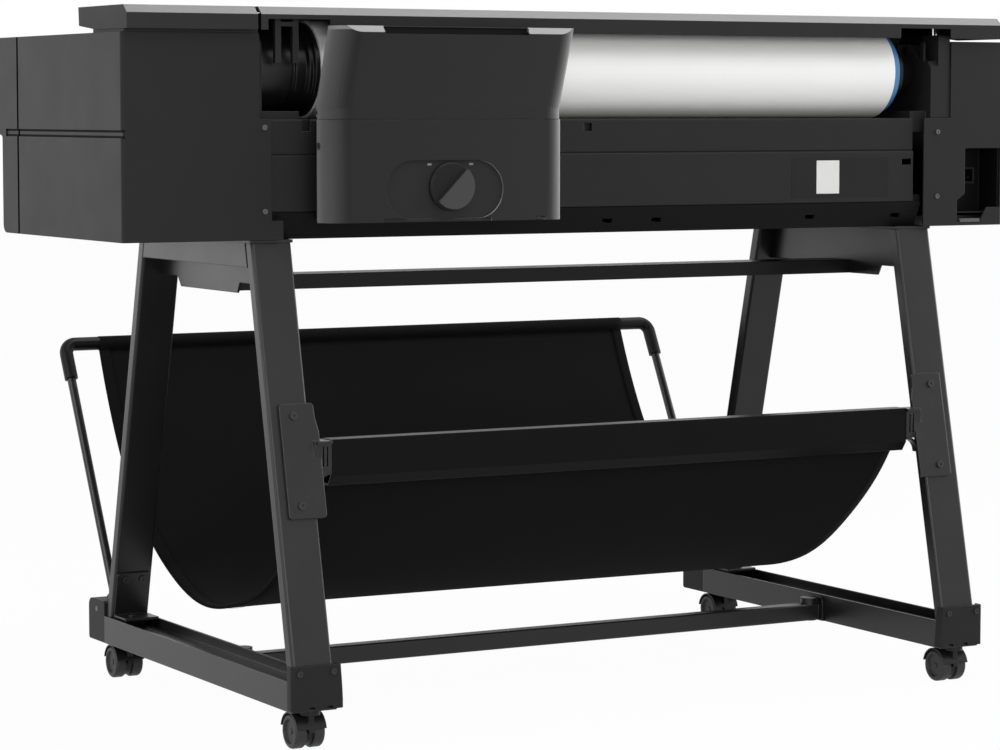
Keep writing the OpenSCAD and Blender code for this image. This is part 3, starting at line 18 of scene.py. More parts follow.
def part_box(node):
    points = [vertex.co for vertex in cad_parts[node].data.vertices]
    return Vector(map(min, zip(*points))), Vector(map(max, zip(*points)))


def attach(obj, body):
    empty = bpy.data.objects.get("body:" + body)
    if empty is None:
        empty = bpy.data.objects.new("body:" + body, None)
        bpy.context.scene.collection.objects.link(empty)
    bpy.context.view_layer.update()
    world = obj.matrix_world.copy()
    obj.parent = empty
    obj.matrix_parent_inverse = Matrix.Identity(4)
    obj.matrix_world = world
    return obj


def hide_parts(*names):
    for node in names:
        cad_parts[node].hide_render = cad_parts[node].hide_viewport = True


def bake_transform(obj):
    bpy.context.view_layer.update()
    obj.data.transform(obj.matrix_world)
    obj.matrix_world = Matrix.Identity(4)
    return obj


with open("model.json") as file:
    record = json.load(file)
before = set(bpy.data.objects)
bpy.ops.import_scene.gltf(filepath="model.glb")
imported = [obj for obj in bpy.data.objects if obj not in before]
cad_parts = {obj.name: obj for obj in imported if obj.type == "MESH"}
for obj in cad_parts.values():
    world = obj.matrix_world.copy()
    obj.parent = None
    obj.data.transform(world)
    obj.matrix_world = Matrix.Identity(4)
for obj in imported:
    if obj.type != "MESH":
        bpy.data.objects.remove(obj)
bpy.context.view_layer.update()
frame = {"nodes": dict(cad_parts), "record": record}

nodes = frame["nodes"]

# %% [markdown]
# ## Where the photographer stood
#
# A camera fitted to the picture stands about four and a half metres away, to the rear and the left, a
# little below the top of the casing, and looks down slightly. A long lens keeps the legs almost
# parallel. The lens is worked out from the focal length in pixels, because that is what a fit gives.
# The place is counted from the roll and the rear face, so the view stays right if the casing grows at
# one end.

# %% Camera
IMAGE_W, FOCAL_PX = 1000, 3235.2
SENSOR_MM = 36
FARTHEST = 60
PAST_ROLL, BEHIND_REAR, EYE_Z = 2.3057, 3.7949, 0.8181
TURN, DIP = math.radians(29.06), math.radians(4.69)


def middle(node):
    """The centre of a node's box."""
    return [(low + high) / 2 for low, high in zip(*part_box(node))]


def put(name, data):
    """A new object in the scene that shows this data."""
    made = bpy.data.objects.new(name, data)
    bpy.context.collection.objects.link(made)
    return made


roll_x, roll_y, roll_z = middle("paper_roll")
rear_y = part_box("left_end_cap")[1][1]
camera = put("camera", bpy.data.cameras.new("camera"))
camera.data.sensor_width = SENSOR_MM
camera.data.lens = SENSOR_MM * FOCAL_PX / IMAGE_W
camera.data.clip_end = FARTHEST
camera.location = (roll_x + PAST_ROLL, rear_y + BEHIND_REAR, EYE_Z)
aim = Vector((-math.sin(TURN) * math.cos(DIP), -math.cos(TURN) * math.cos(DIP), -math.sin(DIP)))
camera.rotation_euler = aim.to_track_quat("-Z", "Y").to_euler()
bpy.context.scene.camera = camera
print("lens", round(camera.data.lens, 1), "mm")

# %% [markdown]
# ## Shader maths that reads like maths
#
# A material is a graph, and a graph written link by link hides its meaning. So one small class wraps a
# socket and answers to the signs of arithmetic, and each expression adds its Math nodes by itself.

# %% Wires
class Wire:
    """A socket's value that can be used in sums."""

    def __init__(self, graph, socket):
        self.graph, self.socket = graph, socket

    def maths(self, operation, a, b=0.0):
        return self.graph.node("ShaderNodeMath", {"operation": operation}, {0: a, 1: b})

    def __add__(self, other):
        return self.maths("ADD", self, other)

    def __radd__(self, other):
        return self.maths("ADD", other, self)

    def __sub__(self, other):
        return self.maths("SUBTRACT", self, other)

    def __rsub__(self, other):
        return self.maths("SUBTRACT", other, self)

    def __mul__(self, other):
        return self.maths("MULTIPLY", self, other)

    def __rmul__(self, other):
        return self.maths("MULTIPLY", other, self)

    def __pow__(self, other):
        return self.maths("POWER", self, other)

    def __rpow__(self, other):
        return self.maths("POWER", other, self)

    def __abs__(self):
        return self.maths("ABSOLUTE", self)


print("wires ready")

# %% [markdown]
# Any other node comes from a single method that takes the node's type, its settings and its sockets. A
# finish is such a graph with one Principled shader in it; where a surface is partly something else,
# another shader is mixed over it.

# %% Graphs and finishes
class Graph:
    """A node tree that is built up node by node."""

    def __init__(self, tree):
        self.tree = tree

    def node(self, kind, settings=None, sockets=None, out=0):
        made = self.tree.nodes.new(kind)
        for key, value in (settings or {}).items():
            setattr(made, key, value)
        for key, value in (sockets or {}).items():
            self.feed(made.inputs[key], value)
        return Wire(self, made.outputs[out])

    def feed(self, socket, value):
        if isinstance(value, Wire):
            self.tree.links.new(value.socket, socket)
        else:
            socket.default_value = value


class Finish(Graph):
    """A material with one Principled shader."""

    def __init__(self, name):
        self.material = bpy.data.materials.new(name)
        self.material.use_nodes = True
        super().__init__(self.material.node_tree)
        self.shader = self.tree.nodes["Principled BSDF"]

    def set(self, **sockets):
        for key, value in sockets.items():
            self.feed(self.shader.inputs[key.replace("_", " ")], value)
        return self.material

    def mix_over(self, share, other):
        own = Wire(self, self.shader.outputs[0])
        both = self.node("ShaderNodeMixShader", None, {0: share, 1: own, 2: other})
        self.feed(self.tree.nodes["Material Output"].inputs["Surface"], both)


made_finishes = {}
print("graphs ready")

# %% [markdown]
# ## Pieces that every finish shares
#
# A texture here is measured on the real surface, so the scale of a noise is one over its grain in
# metres. Object coordinates are the CAD frame itself, because a node's object sits at the origin, and
# they move with the piece. Colours go through a Mix node, because a Math node would turn them grey.

# %% Place, noise and colour
# A Mix node's colour sockets go by number, because their names repeat.
COLOUR_A, COLOUR_B, COLOUR_OUT = 6, 7, 2


def place(finish):
    return finish.node("ShaderNodeTexCoord", out="Object")


def noise(finish, size, detail=2.0, vector=None):
    sockets = {"Vector": vector or place(finish), "Scale": 1 / size, "Detail": detail}
    return finish.node("ShaderNodeTexNoise", None, sockets)


def scaled(colour, gain):
    return tuple(channel * gain for channel in colour)


def rgba(colour):
    return (*colour, 1.0)


def blend(finish, amount, low, high):
    """A colour between two others, each of them a wire or three numbers."""
    low, high = (end if isinstance(end, Wire) else rgba(end) for end in (low, high))
    sockets = {"Factor": amount, COLOUR_A: low, COLOUR_B: high}
    return finish.node("ShaderNodeMix", {"data_type": "RGBA"}, sockets, out=COLOUR_OUT)


def worn_and_highlit(finish, colour, cloud, spread, edges, lift):
    """A colour that drifts a little with the cloud, lighter at the edges as wear and painted highlight."""
    body = blend(finish, cloud, scaled(colour, 1 - spread), scaled(colour, 1 + spread))
    return blend(finish, edges, body, scaled(colour, lift))


print("noise and colours ready")

# %% [markdown]
# Moulded and folded edges always catch a thin light. A real bevel on every edge would make the meshes
# heavy, so a Bevel node rounds the shading by a millimetre or so instead. Where that rounded direction
# leaves the flat one there is an edge, and that is also where hands and sleeves polish the surface. The
# colour there is lighter too, partly as that wear and partly as a painted highlight of the thin light.

# %% Softened edges
# The cosine of the turn, on flat ground and over an edge.
FLAT, TURNED = 0.995, 0.85


def rounded(finish, radius):
    return finish.node("ShaderNodeBevel", {"samples": 6}, {"Radius": radius})


def relief(finish, height, depth, edge):
    sockets = {"Strength": 1.0, "Distance": depth, "Height": height, "Normal": rounded(finish, edge)}
    return finish.node("ShaderNodeBump", None, sockets)


# One edge mask, for real polish in the roughness and for a painted highlight in the colour.
def wear_and_highlight(finish, edge):
    """Near 1 where the surface turns over an edge, 0 on flat ground."""
    flat = finish.node("ShaderNodeNewGeometry", out="True Normal")
    both = {0: rounded(finish, edge), 1: flat}
    along = finish.node("ShaderNodeVectorMath", {"operation": "DOT_PRODUCT"}, both, out="Value")
    return finish.node("ShaderNodeMapRange", None, {"Value": along, "From Min": FLAT, "From Max": TURNED})


print("edges ready")

# %% [markdown]
# ## Patches and lines
#
# Some mouldings show another tone in places. On the bevels and the corners that tone is light in the
# picture which the lamps here do not give, so it is put into the finish; in the finger slot it stands
# for shadow. Painting an image for each would need a map of every mesh. A mask worked out from the
# direction or the place of the surface needs none and follows the CAD sizes. Most masks are 1 on their
# patch and 0 elsewhere, with a smooth step between.

# %% Steps
def axis(vector, letter):
    return vector.graph.node("ShaderNodeSeparateXYZ", None, {0: vector}, out=letter)


def facing(finish, letter):
    """How far the surface looks along one axis of the CAD frame."""
    return axis(finish.node("ShaderNodeTexCoord", out="Normal"), letter)


def step(value, start, end):
    """Rises smoothly from 0 at start to 1 at end; start may be the larger."""
    sockets = {"Value": value, "From Min": start, "From Max": end}
    return value.graph.node("ShaderNodeMapRange", {"interpolation_type": "SMOOTHSTEP"}, sockets)


def between(value, rise, fall):
    """1 between two steps, each given by its start and end."""
    return step(value, *rise) * step(value, *fall)


print("steps ready")

# %% [markdown]
# Direction alone finds the bevels and the round corners of the feeder, which are pale in the picture
# and get painted highlights, and the flat ends of the cover, which would otherwise mirror a lamp and
# come out too light and so get painted shade.

# %% Patches by direction
# Painted highlight on surfaces that slope upwards, the bevels.
def bevelled(finish):
    return between(facing(finish, "Z"), (0.3, 0.42), (0.95, 0.85))


def turned_away(finish):
    """Rises where the surface turns away from the eye, for a painted sheen like that on satin plastic."""
    return finish.node("ShaderNodeLayerWeight", None, {"Blend": 0.5}, out="Facing") ** 2


# Painted highlight on the feeder's round corners.
def round_corner(finish):
    return step(abs(facing(finish, "X")), 0.04, 0.95)


# The flat ends of the cover: painted shade in the colour, and duller in the roughness.
def end_face(finish):
    return step(abs(facing(finish, "X")), 0.9, 0.97)


print("patches by direction: 4")

# %% [markdown]
# The others need a place. The feeder's paper support is cut level: its rim stays pale round the
# corners with a painted highlight, and a finger slot in the rim is dark with painted shadow. The raised
# half of the lock knob is paler than the rest, a painted highlight. All are counted from the boxes of
# their pieces.

# %% Patches by place
RIM_STEP = (0.0052, 0.0044)
SLOT_SHIFT = 0.008
SLOT_OUT, SLOT_IN = 0.107, 0.105
SLOT_STEP = (0.0102, 0.0098)
KNOB_STEP = (0.004, 0.003)


def below(top, distances):
    return [top - distance for distance in distances]


# Painted highlight on the rim round the support's corners.
def corner_rim(finish):
    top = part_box("paper_support")[1][2]
    turned = step(abs(facing(finish, "X")), 0.02, 0.06)
    return turned * step(axis(place(finish), "Z"), *below(top, RIM_STEP))


# Painted shadow in the finger slot.
def finger_slot(finish):
    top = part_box("paper_support")[1][2]
    centre = middle("paper_support")[0] + SLOT_SHIFT
    x, z = axis(place(finish), "X"), axis(place(finish), "Z")
    across = between(x, (centre - SLOT_OUT, centre - SLOT_IN), (centre + SLOT_OUT, centre + SLOT_IN))
    return across * step(z, *below(top, SLOT_STEP))


# Painted highlight on the knob's raised half, which catches the light.
def raised_half(finish):
    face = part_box("lock_knob")[1][1]
    return step(axis(place(finish), "Y"), *below(face, KNOB_STEP))


print("patches by place: 3")

# %% [markdown]
# The casing has a seam behind each front corner and a groove along each side. Both are only millimetres
# wide, so from this far they are thin dark lines: the seam itself, a dark joint, and the upper and the
# lower edge of the groove, which are painted shade. A mask draws them without cutting the mesh.

# %% Dark lines
LINE_OUT, LINE_IN = 0.0035, 0.0025
LIP_OUT, LIP_IN = 0.0008, 0.0003
GROOVE_Z = (0.132, 0.142)
GROOVE_FLOOR, GROOVE_MOUTH = (0.005, 0.004), (0.0008, 0.0014)


def dark_lines(finish):
    cap_low, cap_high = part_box("left_end_cap")
    seam_y = (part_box("left_front_corner")[1][1] + cap_low[1]) / 2
    spot = place(finish)
    side, y, z = abs(axis(spot, "X")), axis(spot, "Y"), axis(spot, "Z")
    # The seam is a dark joint; the groove's upper and lower lines below are painted shade.
    seam = between(y, (seam_y - LINE_OUT, seam_y - LINE_IN), (seam_y + LINE_OUT, seam_y + LINE_IN))
    inside = between(side, below(cap_high[0], GROOVE_FLOOR), below(cap_high[0], GROOVE_MOUTH))
    bottom, top = (cap_low[2] + height for height in GROOVE_Z)
    upper = between(z, (top - LINE_OUT, top - LINE_IN), (top + LIP_OUT, top + LIP_IN))
    lower = between(z, (bottom - LIP_OUT, bottom - LIP_IN), (bottom + LINE_OUT, bottom + LINE_IN))
    return seam.maths("MAXIMUM", seam, 0.8 * inside * (upper + lower))


print("lines ready")

# %% [markdown]
# ## Moulded plastic
#
# The casing looks injection moulded, with a fine grain. It is neither matt nor glossy: the grain
# scatters the shine, and hands polish the edges. So the bump is a fine noise, the roughness drifts
# slowly over a few centimetres, and the edges are a little smoother, and lighter as wear and painted
# highlight. Lines neither shine nor show colour, so there a dull shader takes over.

# %% Moulding
def moulded(
    name, colour, rough=0.5, shine=0.12, grain=0.0009, depth=0.00006, edge=0.0012, lift=1.6,
    patches=(), lines=None, dull=None,
):
    """Patches are pairs of a mask and a tone; lines and dull are masks."""
    finish = Finish(name)
    cloud = noise(finish, 0.055, 3.0)
    edges = wear_and_highlight(finish, edge)
    shade = worn_and_highlit(finish, colour, cloud, 0.08, edges * 0.6, lift)
    for mask, tone in patches:
        shade = blend(finish, mask(finish), shade, (tone, tone, tone))
    satin = rough + 0.1 * (cloud - 0.5) - 0.08 * edges
    if dull:
        satin = satin + 0.2 * dull(finish)
    made_finishes[name] = finish.set(
        Base_Color=shade,
        Roughness=satin,
        Specular_IOR_Level=shine,
        Normal=relief(finish, noise(finish, grain), depth, edge),
    )
    if lines:
        # The dull dark shader paints the seam and the groove's shade lines.
        matt = finish.node("ShaderNodeBsdfDiffuse", None, {"Color": rgba(scaled(colour, 0.2))})
        finish.mix_over(lines(finish), matt)
    return made_finishes[name]


print("moulding ready")

# %% [markdown]
# One function makes every plastic: the pieces differ in tone, in polish and in their patches. Only the
# stop at the end of the roll has a colour.

# %% Plastics
moulded("cap_plastic", (0.013, 0.013, 0.0135), lines=dark_lines)
# The panel's edges are lifted most, a painted highlight where the lower panel's top edge catches light.
moulded("panel_plastic", (0.0125, 0.0125, 0.013), edge=0.0016, lift=3.5)
moulded("sill_plastic", (0.0045, 0.0045, 0.0048), rough=0.55, shine=0.08)
# Painted light on the feeder: highlights on corners, bevel and rim, sheen at the turn, shadow in the slot.
FEEDER_PATCHES = [
    (round_corner, 0.055),
    (turned_away, 0.42),
    (bevelled, 0.28),
    (corner_rim, 0.2),
    (finger_slot, 0.003),
]
moulded("feeder_plastic", (0.0125, 0.0125, 0.013), rough=0.6, shine=0.1, edge=0.0018, patches=FEEDER_PATCHES)
# On the cover, a painted highlight on the bevel and painted shade on the flat ends.
COVER_PATCHES = [(bevelled, 0.16), (end_face, 0.01)]
moulded(
    "cover_plastic", (0.016, 0.016, 0.0165), rough=0.36, shine=0.14, edge=0.0008,
    patches=COVER_PATCHES, dull=end_face,
)
# The knob's raised half is painted paler, a highlight.
moulded("knob_plastic", (0.009, 0.009, 0.0095), rough=0.38, patches=[(raised_half, 0.05)])
moulded("inlet_plastic", (0.004, 0.004, 0.0042), rough=0.4)
moulded("hub_plastic", (0.005, 0.005, 0.0052), rough=0.34, shine=0.3)
moulded("shoe_plastic", (0.014, 0.014, 0.0145))
moulded("caster_plastic", (0.009, 0.009, 0.0095), rough=0.42, shine=0.2)
moulded("elbow_plastic", (0.005, 0.005, 0.0055), rough=0.4)
moulded("carriage_plastic", (0.013, 0.013, 0.0135), rough=0.45)
moulded("platen_plastic", (0.012, 0.012, 0.012))
moulded("stop_plastic", (0.06, 0.19, 0.4), rough=0.32, shine=0.4, lift=1.2)
print("plastics:", len(made_finishes))

# %% [markdown]
# ## Powder coat
#
# The stand looks like sheet steel and tube under a dark textured powder coat. Baked powder flows into
# tiny rounded bumps, an orange-peel skin about a millimetre across, and most of it shines more than the
# plastic above it. Two noises, one about three times finer than the other, give that skin. The bolts
# and fittings come from the same function, with a finer edge.

# %% Powder coat
def powder_coat(name, colour, rough=0.3, shine=0.3, peel=0.0014, depth=0.00012, edge=0.002, lift=1.8):
    finish = Finish(name)
    cloud = noise(finish, 0.09, 3.0)
    edges = wear_and_highlight(finish, edge)
    skin = noise(finish, peel, 1.0) + 0.4 * noise(finish, peel * 0.35, 1.0)
    made_finishes[name] = finish.set(
        Base_Color=worn_and_highlit(finish, colour, cloud, 0.1, edges * 0.7, lift),
        Roughness=rough + 0.12 * (cloud - 0.5),
        Specular_IOR_Level=shine,
        Normal=relief(finish, skin, depth, edge),
    )


powder_coat("leg_paint", (0.0105, 0.0105, 0.011))
powder_coat("rail_paint", (0.01, 0.01, 0.0105))
# A shaded copy of the rail's paint: its darker colour is painted shade under the casing.
powder_coat("shaded_crossbar_paint", (0.006, 0.006, 0.0063), shine=0.16)
powder_coat("beam_paint", (0.004, 0.004, 0.0043), shine=0.06)
powder_coat("tube_paint", (0.012, 0.012, 0.0125), rough=0.26)
powder_coat("bolt_steel", (0.018, 0.018, 0.0185), rough=0.32, edge=0.0006)
powder_coat("fitting_steel", (0.075, 0.075, 0.077), rough=0.4, edge=0.0005)
print("finishes so far:", len(made_finishes))

# %% [markdown]
# ## Bare metal and rubber
#
# Small areas, but each has its own character. Drawn bars have streaks along their length: a noise
# stretched far along X gives them. The picture hardly shows the chassis and the pins. They are given a
# dark steel by guess, so that nothing bright shows through the gaps, and only the carriage's rail is
# bright. Rubber is dull and slightly mottled with dust.

# %% Metals and rubber
STREAK = (0.2, 0.0008, 0.0008)


def drawn_metal(name, colour, rough):
    finish = Finish(name)
    scale = tuple(1 / size for size in STREAK)
    stretched = finish.node("ShaderNodeMapping", None, {"Vector": place(finish), "Scale": scale})
    streaks = noise(finish, 1.0, 4.0, stretched)
    made_finishes[name] = finish.set(
        Base_Color=blend(finish, streaks, scaled(colour, 0.85), colour),
        Metallic=1.0,
        Roughness=rough + 0.18 * (streaks - 0.5),
        Normal=relief(finish, streaks, 0.00003, 0.0005),
    )


def rubber(name, colour, rough=0.7):
    finish = Finish(name)
    dust = noise(finish, 0.012, 5.0)
    made_finishes[name] = finish.set(
        Base_Color=blend(finish, dust, scaled(colour, 0.8), scaled(colour, 1.4)),
        Roughness=rough + 0.15 * (dust - 0.5),
        Specular_IOR_Level=0.3,
        Normal=relief(finish, noise(finish, 0.0007, 3.0), 0.00008, 0.0012),
    )


drawn_metal("frame_steel", (0.05, 0.05, 0.052), 0.42)
drawn_metal("rail_steel", (0.62, 0.62, 0.63), 0.16)
drawn_metal("pin_steel", (0.09, 0.09, 0.092), 0.3)
rubber("caster_tread", (0.02, 0.02, 0.021), 0.5)
rubber("belt_rubber", (0.014, 0.014, 0.014))
rubber("roller_rubber", (0.018, 0.018, 0.018))
print("finishes so far:", len(made_finishes))

# %% [markdown]
# ## Paper and board
#
# A wound roll shows hairline rings at its ends and a faint banding across its width. The rings are a
# noise of one dimension, read along the distance from the roll's axis; the bands are another, read
# along X. A core like this is kraft board wound on a slant, so a wave texture is turned.

# %% Paper and board
RINGS_PER_M, BANDS_PER_M = 2600, 9


def stripes(finish, value, per_metre):
    sockets = {"W": value, "Scale": per_metre, "Detail": 2.0}
    return finish.node("ShaderNodeTexNoise", {"noise_dimensions": "1D"}, sockets)


def wound_paper(name):
    finish = Finish(name)
    spot = place(finish)
    y, z = axis(spot, "Y") - roll_y, axis(spot, "Z") - roll_z
    rings = stripes(finish, (y * y + z * z) ** 0.5, RINGS_PER_M)
    bands = stripes(finish, axis(spot, "X"), BANDS_PER_M)
    fibre = noise(finish, 0.0012, 4.0)
    shade = rings * 0.5 + bands * 0.3 + fibre * 0.2
    made_finishes[name] = finish.set(
        Base_Color=blend(finish, shade, (0.74, 0.74, 0.725), (0.84, 0.84, 0.83)),
        Roughness=0.72 + 0.1 * (fibre - 0.5),
        Specular_IOR_Level=0.25,
        Normal=relief(finish, rings, 0.00005, 0.0004),
    )


def kraft_board(name):
    finish = Finish(name)
    slant = finish.node("ShaderNodeMapping", None, {"Vector": place(finish), "Rotation": (0, 0, 0.7)})
    sockets = {"Vector": slant, "Scale": 12.0, "Distortion": 1.5, "Detail": 3.0}
    plies = finish.node("ShaderNodeTexWave", None, sockets)
    fibre = noise(finish, 0.002, 5.0)
    made_finishes[name] = finish.set(
        Base_Color=blend(finish, plies * 0.4 + fibre * 0.6, (0.3, 0.21, 0.12), (0.45, 0.33, 0.2)),
        Roughness=0.8 + 0.1 * (fibre - 0.5),
        Normal=relief(finish, fibre, 0.0001, 0.0004),
    )


wound_paper("roll_paper")
kraft_board("core_board")
print("finishes so far:", len(made_finishes))

# %% [markdown]
# ## Glossy front
#
# The window and the control panel are on the side that the picture does not show, so their look is a
# guess, but a reader will walk round the model. Both are dark and glossy; faint wipe marks in the
# roughness keep them from looking like a mirror.

# %% Window and screen
WIPE_SCALE = (9.0, 40.0, 40.0)


def dark_gloss(name, colour, rough):
    finish = Finish(name)
    wipe = finish.node("ShaderNodeMapping", None, {"Vector": place(finish), "Scale": WIPE_SCALE})
    smear = noise(finish, 1.0, 5.0, wipe)
    made_finishes[name] = finish.set(
        Base_Color=blend(finish, smear, colour, scaled(colour, 1.3)),
        Roughness=rough + 0.12 * smear,
        Coat_Weight=0.5 + 0.2 * smear,
        Normal=relief(finish, noise(finish, 0.02, 1.0), 0.00002, 0.0012),
    )


dark_gloss("window_plastic", (0.012, 0.0125, 0.014), 0.12)
dark_gloss("screen_gloss", (0.008, 0.008, 0.01), 0.08)
print("finishes so far:", len(made_finishes))

# %% [markdown]
# ## Dressing the CAD pieces
#
# The record already says which finish each node takes, so the finishes are handed out by that name.
# Only the upper crossbar takes a darker one than the record says, because the picture shows it darker:
# its darker colour is painted shade under the casing.
# The meshes stay as they are; only the material slots change.

# %% Assign the finishes
SHADED = {"upper_crossbar": "shaded_crossbar_paint"}

dressed = 0
for part in frame["record"]["subparts"]:
    slot = SHADED.get(part["node"], part["material_slot"])
    if slot in made_finishes:
        mesh = nodes[part["node"]].data
        mesh.materials.clear()
        mesh.materials.append(made_finishes[slot])
        dressed += 1
print("dressed", dressed, "of", len(nodes), "nodes")

# %% [markdown]
# The rounded corners of the feeder are built from narrow flat strips. Their shading normals are
# averaged where two strips meet at a small angle, weighted by area, so the corner looks round and the
# wide faces stay flat. No point moves.

# %% Soften the feeder's strips
SMALL_ANGLE = 16


def soften(mesh, limit):
    corners = [
        (face, loop, tuple(round(c, 5) for c in mesh.vertices[mesh.loops[loop].vertex_index].co))
        for face in mesh.polygons
        for loop in face.loop_indices
    ]
    meeting = {}
    for face, loop, spot in corners:
        meeting.setdefault(spot, []).append(face)
    least = math.cos(math.radians(limit))
    normals = [Vector((0, 0, 1))] * len(mesh.loops)
    for face, loop, spot in corners:
        near = [other for other in meeting[spot] if other.normal.dot(face.normal) > least]
        normals[loop] = sum((other.normal * other.area for other in near), Vector()).normalized()
    mesh.normals_split_custom_set(normals)


for node in ("feeder_box", "paper_support"):
    nodes[node].data.shade_smooth()
    soften(nodes[node].data, SMALL_ANGLE)
print("feeder corners softened")

# %% [markdown]
# ## The sling
#
# The bin is one length of black cloth. Its front end is sewn into a sleeve round the bar, it hangs in a
# deep curve below the machine, and its rear end is fixed along the beam. A cloth simulation would find
# that curve too, but a Bezier curve with two pulls is quicker to fit to the picture, and its length is
# known.

# %% Sling profile
CLOTH = 0.0022
SEW_GAP = 0.0004
FRONT_SHIFT, FRONT_DROP, REAR_LAP = 0.003, 0.0002, 0.016
FRONT_PULL, REAR_PULL = Vector((0.209, -0.513)), Vector((-0.139, -0.234))
PIECES = 96

bar_low, bar_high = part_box("bin_bar")
bar_y, bar_z = middle("bin_bar")[1:]
beam_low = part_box("rear_beam")[0]
left_x, right_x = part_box("bin_sling")[1][0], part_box("bin_sling")[0][0]
sleeve_r = (bar_high[2] - bar_low[2]) / 2 + SEW_GAP + CLOTH / 2
front = Vector((bar_y + FRONT_SHIFT, bar_z - sleeve_r - FRONT_DROP))
rear = Vector((beam_low[1] - SEW_GAP - CLOTH / 2, beam_low[2] + REAR_LAP))
pull = [front + FRONT_PULL, rear + REAR_PULL]


def hanging(t):
    s = 1 - t
    return s**3 * front + 3 * s * s * t * pull[0] + 3 * s * t * t * pull[1] + t**3 * rear


profile = [hanging(k / PIECES) for k in range(PIECES + 1)]
length = sum((b - a).length for a, b in zip(profile, profile[1:]))
width = left_x - right_x
print("cloth", round(width, 3), "by", round(length, 3), "m")

# %% [markdown]
# Cloth in a sling is stretched one way and slack the other, so it hangs almost as a rolled surface,
# with small waves that grow towards its free sides. The profile is swept across the width, point by
# point, and the map that the weave needs is made on the way, in metres.

# %% Sweeping a profile
COLUMNS = 72


def ripple(u, v):
    """Small waves, strongest near the free sides and the lowest part of the curve."""
    side = abs(2 * u - 1) ** 3
    sag = math.sin(math.pi * v)
    wave = math.sin(9.0 * v + 5.0 * u) * 0.5 + math.sin(23.0 * v - 7.0 * u + 1.3) * 0.3
    return sag * (0.0012 + 0.004 * side) * wave


def sweep(name, points, offset, x0, x1, columns=COLUMNS):
    """A strip from x0 to x1 that follows the profile, pushed off it by offset(u, v)."""
    bm = bmesh.new()
    uv = bm.loops.layers.uv.new("UVMap")
    rows, run, last = [], 0.0, len(points) - 1
    for i, point in enumerate(points):
        along = (points[min(i + 1, last)] - points[max(i - 1, 0)]).normalized()
        across = Vector((-along.y, along.x))
        if i:
            run += (point - points[i - 1]).length
        row = []
        for j in range(columns + 1):
            x = x0 + (x1 - x0) * j / columns
            spot = point + across * offset((x - right_x) / width, i / last)
            row.append((bm.verts.new((x, spot.x, spot.y)), x - right_x, run))
        rows.append(row)
    for low, high in zip(rows, rows[1:]):
        for corners in zip(low, low[1:], high[1:], high):
            face = bm.faces.new([corner[0] for corner in corners])
            face.smooth = True
            for loop, corner in zip(face.loops, corners):
                loop[uv].uv = corner[1:]
    mesh = bpy.data.meshes.new(name)
    bm.to_mesh(mesh)
    bm.free()
    return put(name, mesh)


print("sweep ready")

# %% [markdown]
# The strip gets its thickness from a Solidify modifier, which is applied at once so that the mesh holds
# real faces. The sleeve is the same strip swept round the bar, almost a full circle.

# %% Sling and sleeve
SLEEVE_FROM, SLEEVE_TURN, SLEEVE_PIECES = 12, 346, 40


def thicken(obj):
    shell = obj.modifiers.new("cloth", "SOLIDIFY")
    shell.thickness = CLOTH
    shell.offset = 0
    bpy.context.view_layer.objects.active = obj
    bpy.ops.object.modifier_apply(modifier="cloth")
    for face in obj.data.polygons:
        face.use_smooth = True


def round_bar(k):
    a = math.radians(SLEEVE_FROM + SLEEVE_TURN * k / SLEEVE_PIECES)
    return Vector((bar_y + sleeve_r * math.sin(a), bar_z - sleeve_r * math.cos(a)))


sling = sweep("sling_cloth", profile, ripple, right_x, left_x)
thicken(sling)
sleeve_profile = [round_bar(k) for k in range(SLEEVE_PIECES + 1)]
sleeve = sweep("sling_sleeve", sleeve_profile, lambda u, v: 0.0, right_x, left_x)
thicken(sleeve)
print("sling", len(sling.data.vertices), "points; sleeve", len(sleeve.data.vertices))

# %% [markdown]
# ## Side hems
#
# A cut edge frays, so each free side is turned over once and sewn down. The turned strip lies on the
# inner face and follows the same waves, so it is one more sweep, lifted by almost the thickness of the
# cloth.

# %% Hems
HEM_W, HEM_COLUMNS = 0.016, 4


def hem_lift(u, v):
    return ripple(u, v) + CLOTH * 0.95


hems = [
    sweep("left_hem", profile, hem_lift, left_x - HEM_W, left_x, HEM_COLUMNS),
    sweep("right_hem", profile, hem_lift, right_x, right_x + HEM_W, HEM_COLUMNS),
]
for strip in hems:
    thicken(strip)
print("hems", [len(strip.data.vertices) for strip in hems], "points")

# %% [markdown]
# ## Stitches
#
# A row of short stitches follows the edge of each hem, on both faces. Each stitch is a small six-sided
# bead, all in one mesh: hundreds of separate objects would only slow the scene down.

# %% One stitch
BEAD_RINGS, BEAD_SIDES = 3, 6


def bead_shape():
    """Points and faces of one stitch, a tapered bead one unit long along Y."""
    points = [(0.0, -0.5, 0.0)]
    for i in range(1, BEAD_RINGS + 1):
        tilt = math.pi * i / (BEAD_RINGS + 1)
        for k in range(BEAD_SIDES):
            a = 2 * math.pi * k / BEAD_SIDES
            r = 0.5 * math.sin(tilt)
            points.append((r * math.cos(a), -0.5 * math.cos(tilt), r * math.sin(a)))
    points.append((0.0, 0.5, 0.0))
    faces = []
    for k in range(BEAD_SIDES):
        n = (k + 1) % BEAD_SIDES
        faces.append((0, 1 + n, 1 + k))
        for i in range(BEAD_RINGS - 1):
            low, high = 1 + i * BEAD_SIDES, 1 + (i + 1) * BEAD_SIDES
            faces.append((low + k, low + n, high + n, high + k))
        top = 1 + (BEAD_RINGS - 1) * BEAD_SIDES
        faces.append((top + k, top + n, len(points) - 1))
    return [Vector(point) for point in points], faces


bead_points, bead_faces = bead_shape()
print("one stitch:", len(bead_points), "points")

# %% [markdown]
# The beads are set at even steps along the curve, turned to follow it, and pushed out to the two faces
# of the sewn edge.

# %% Rows of stitches
STITCH, STITCH_W, STITCH_STEP = 0.0032, 0.0007, 0.0046
FROM_HEM_EDGE = 0.003


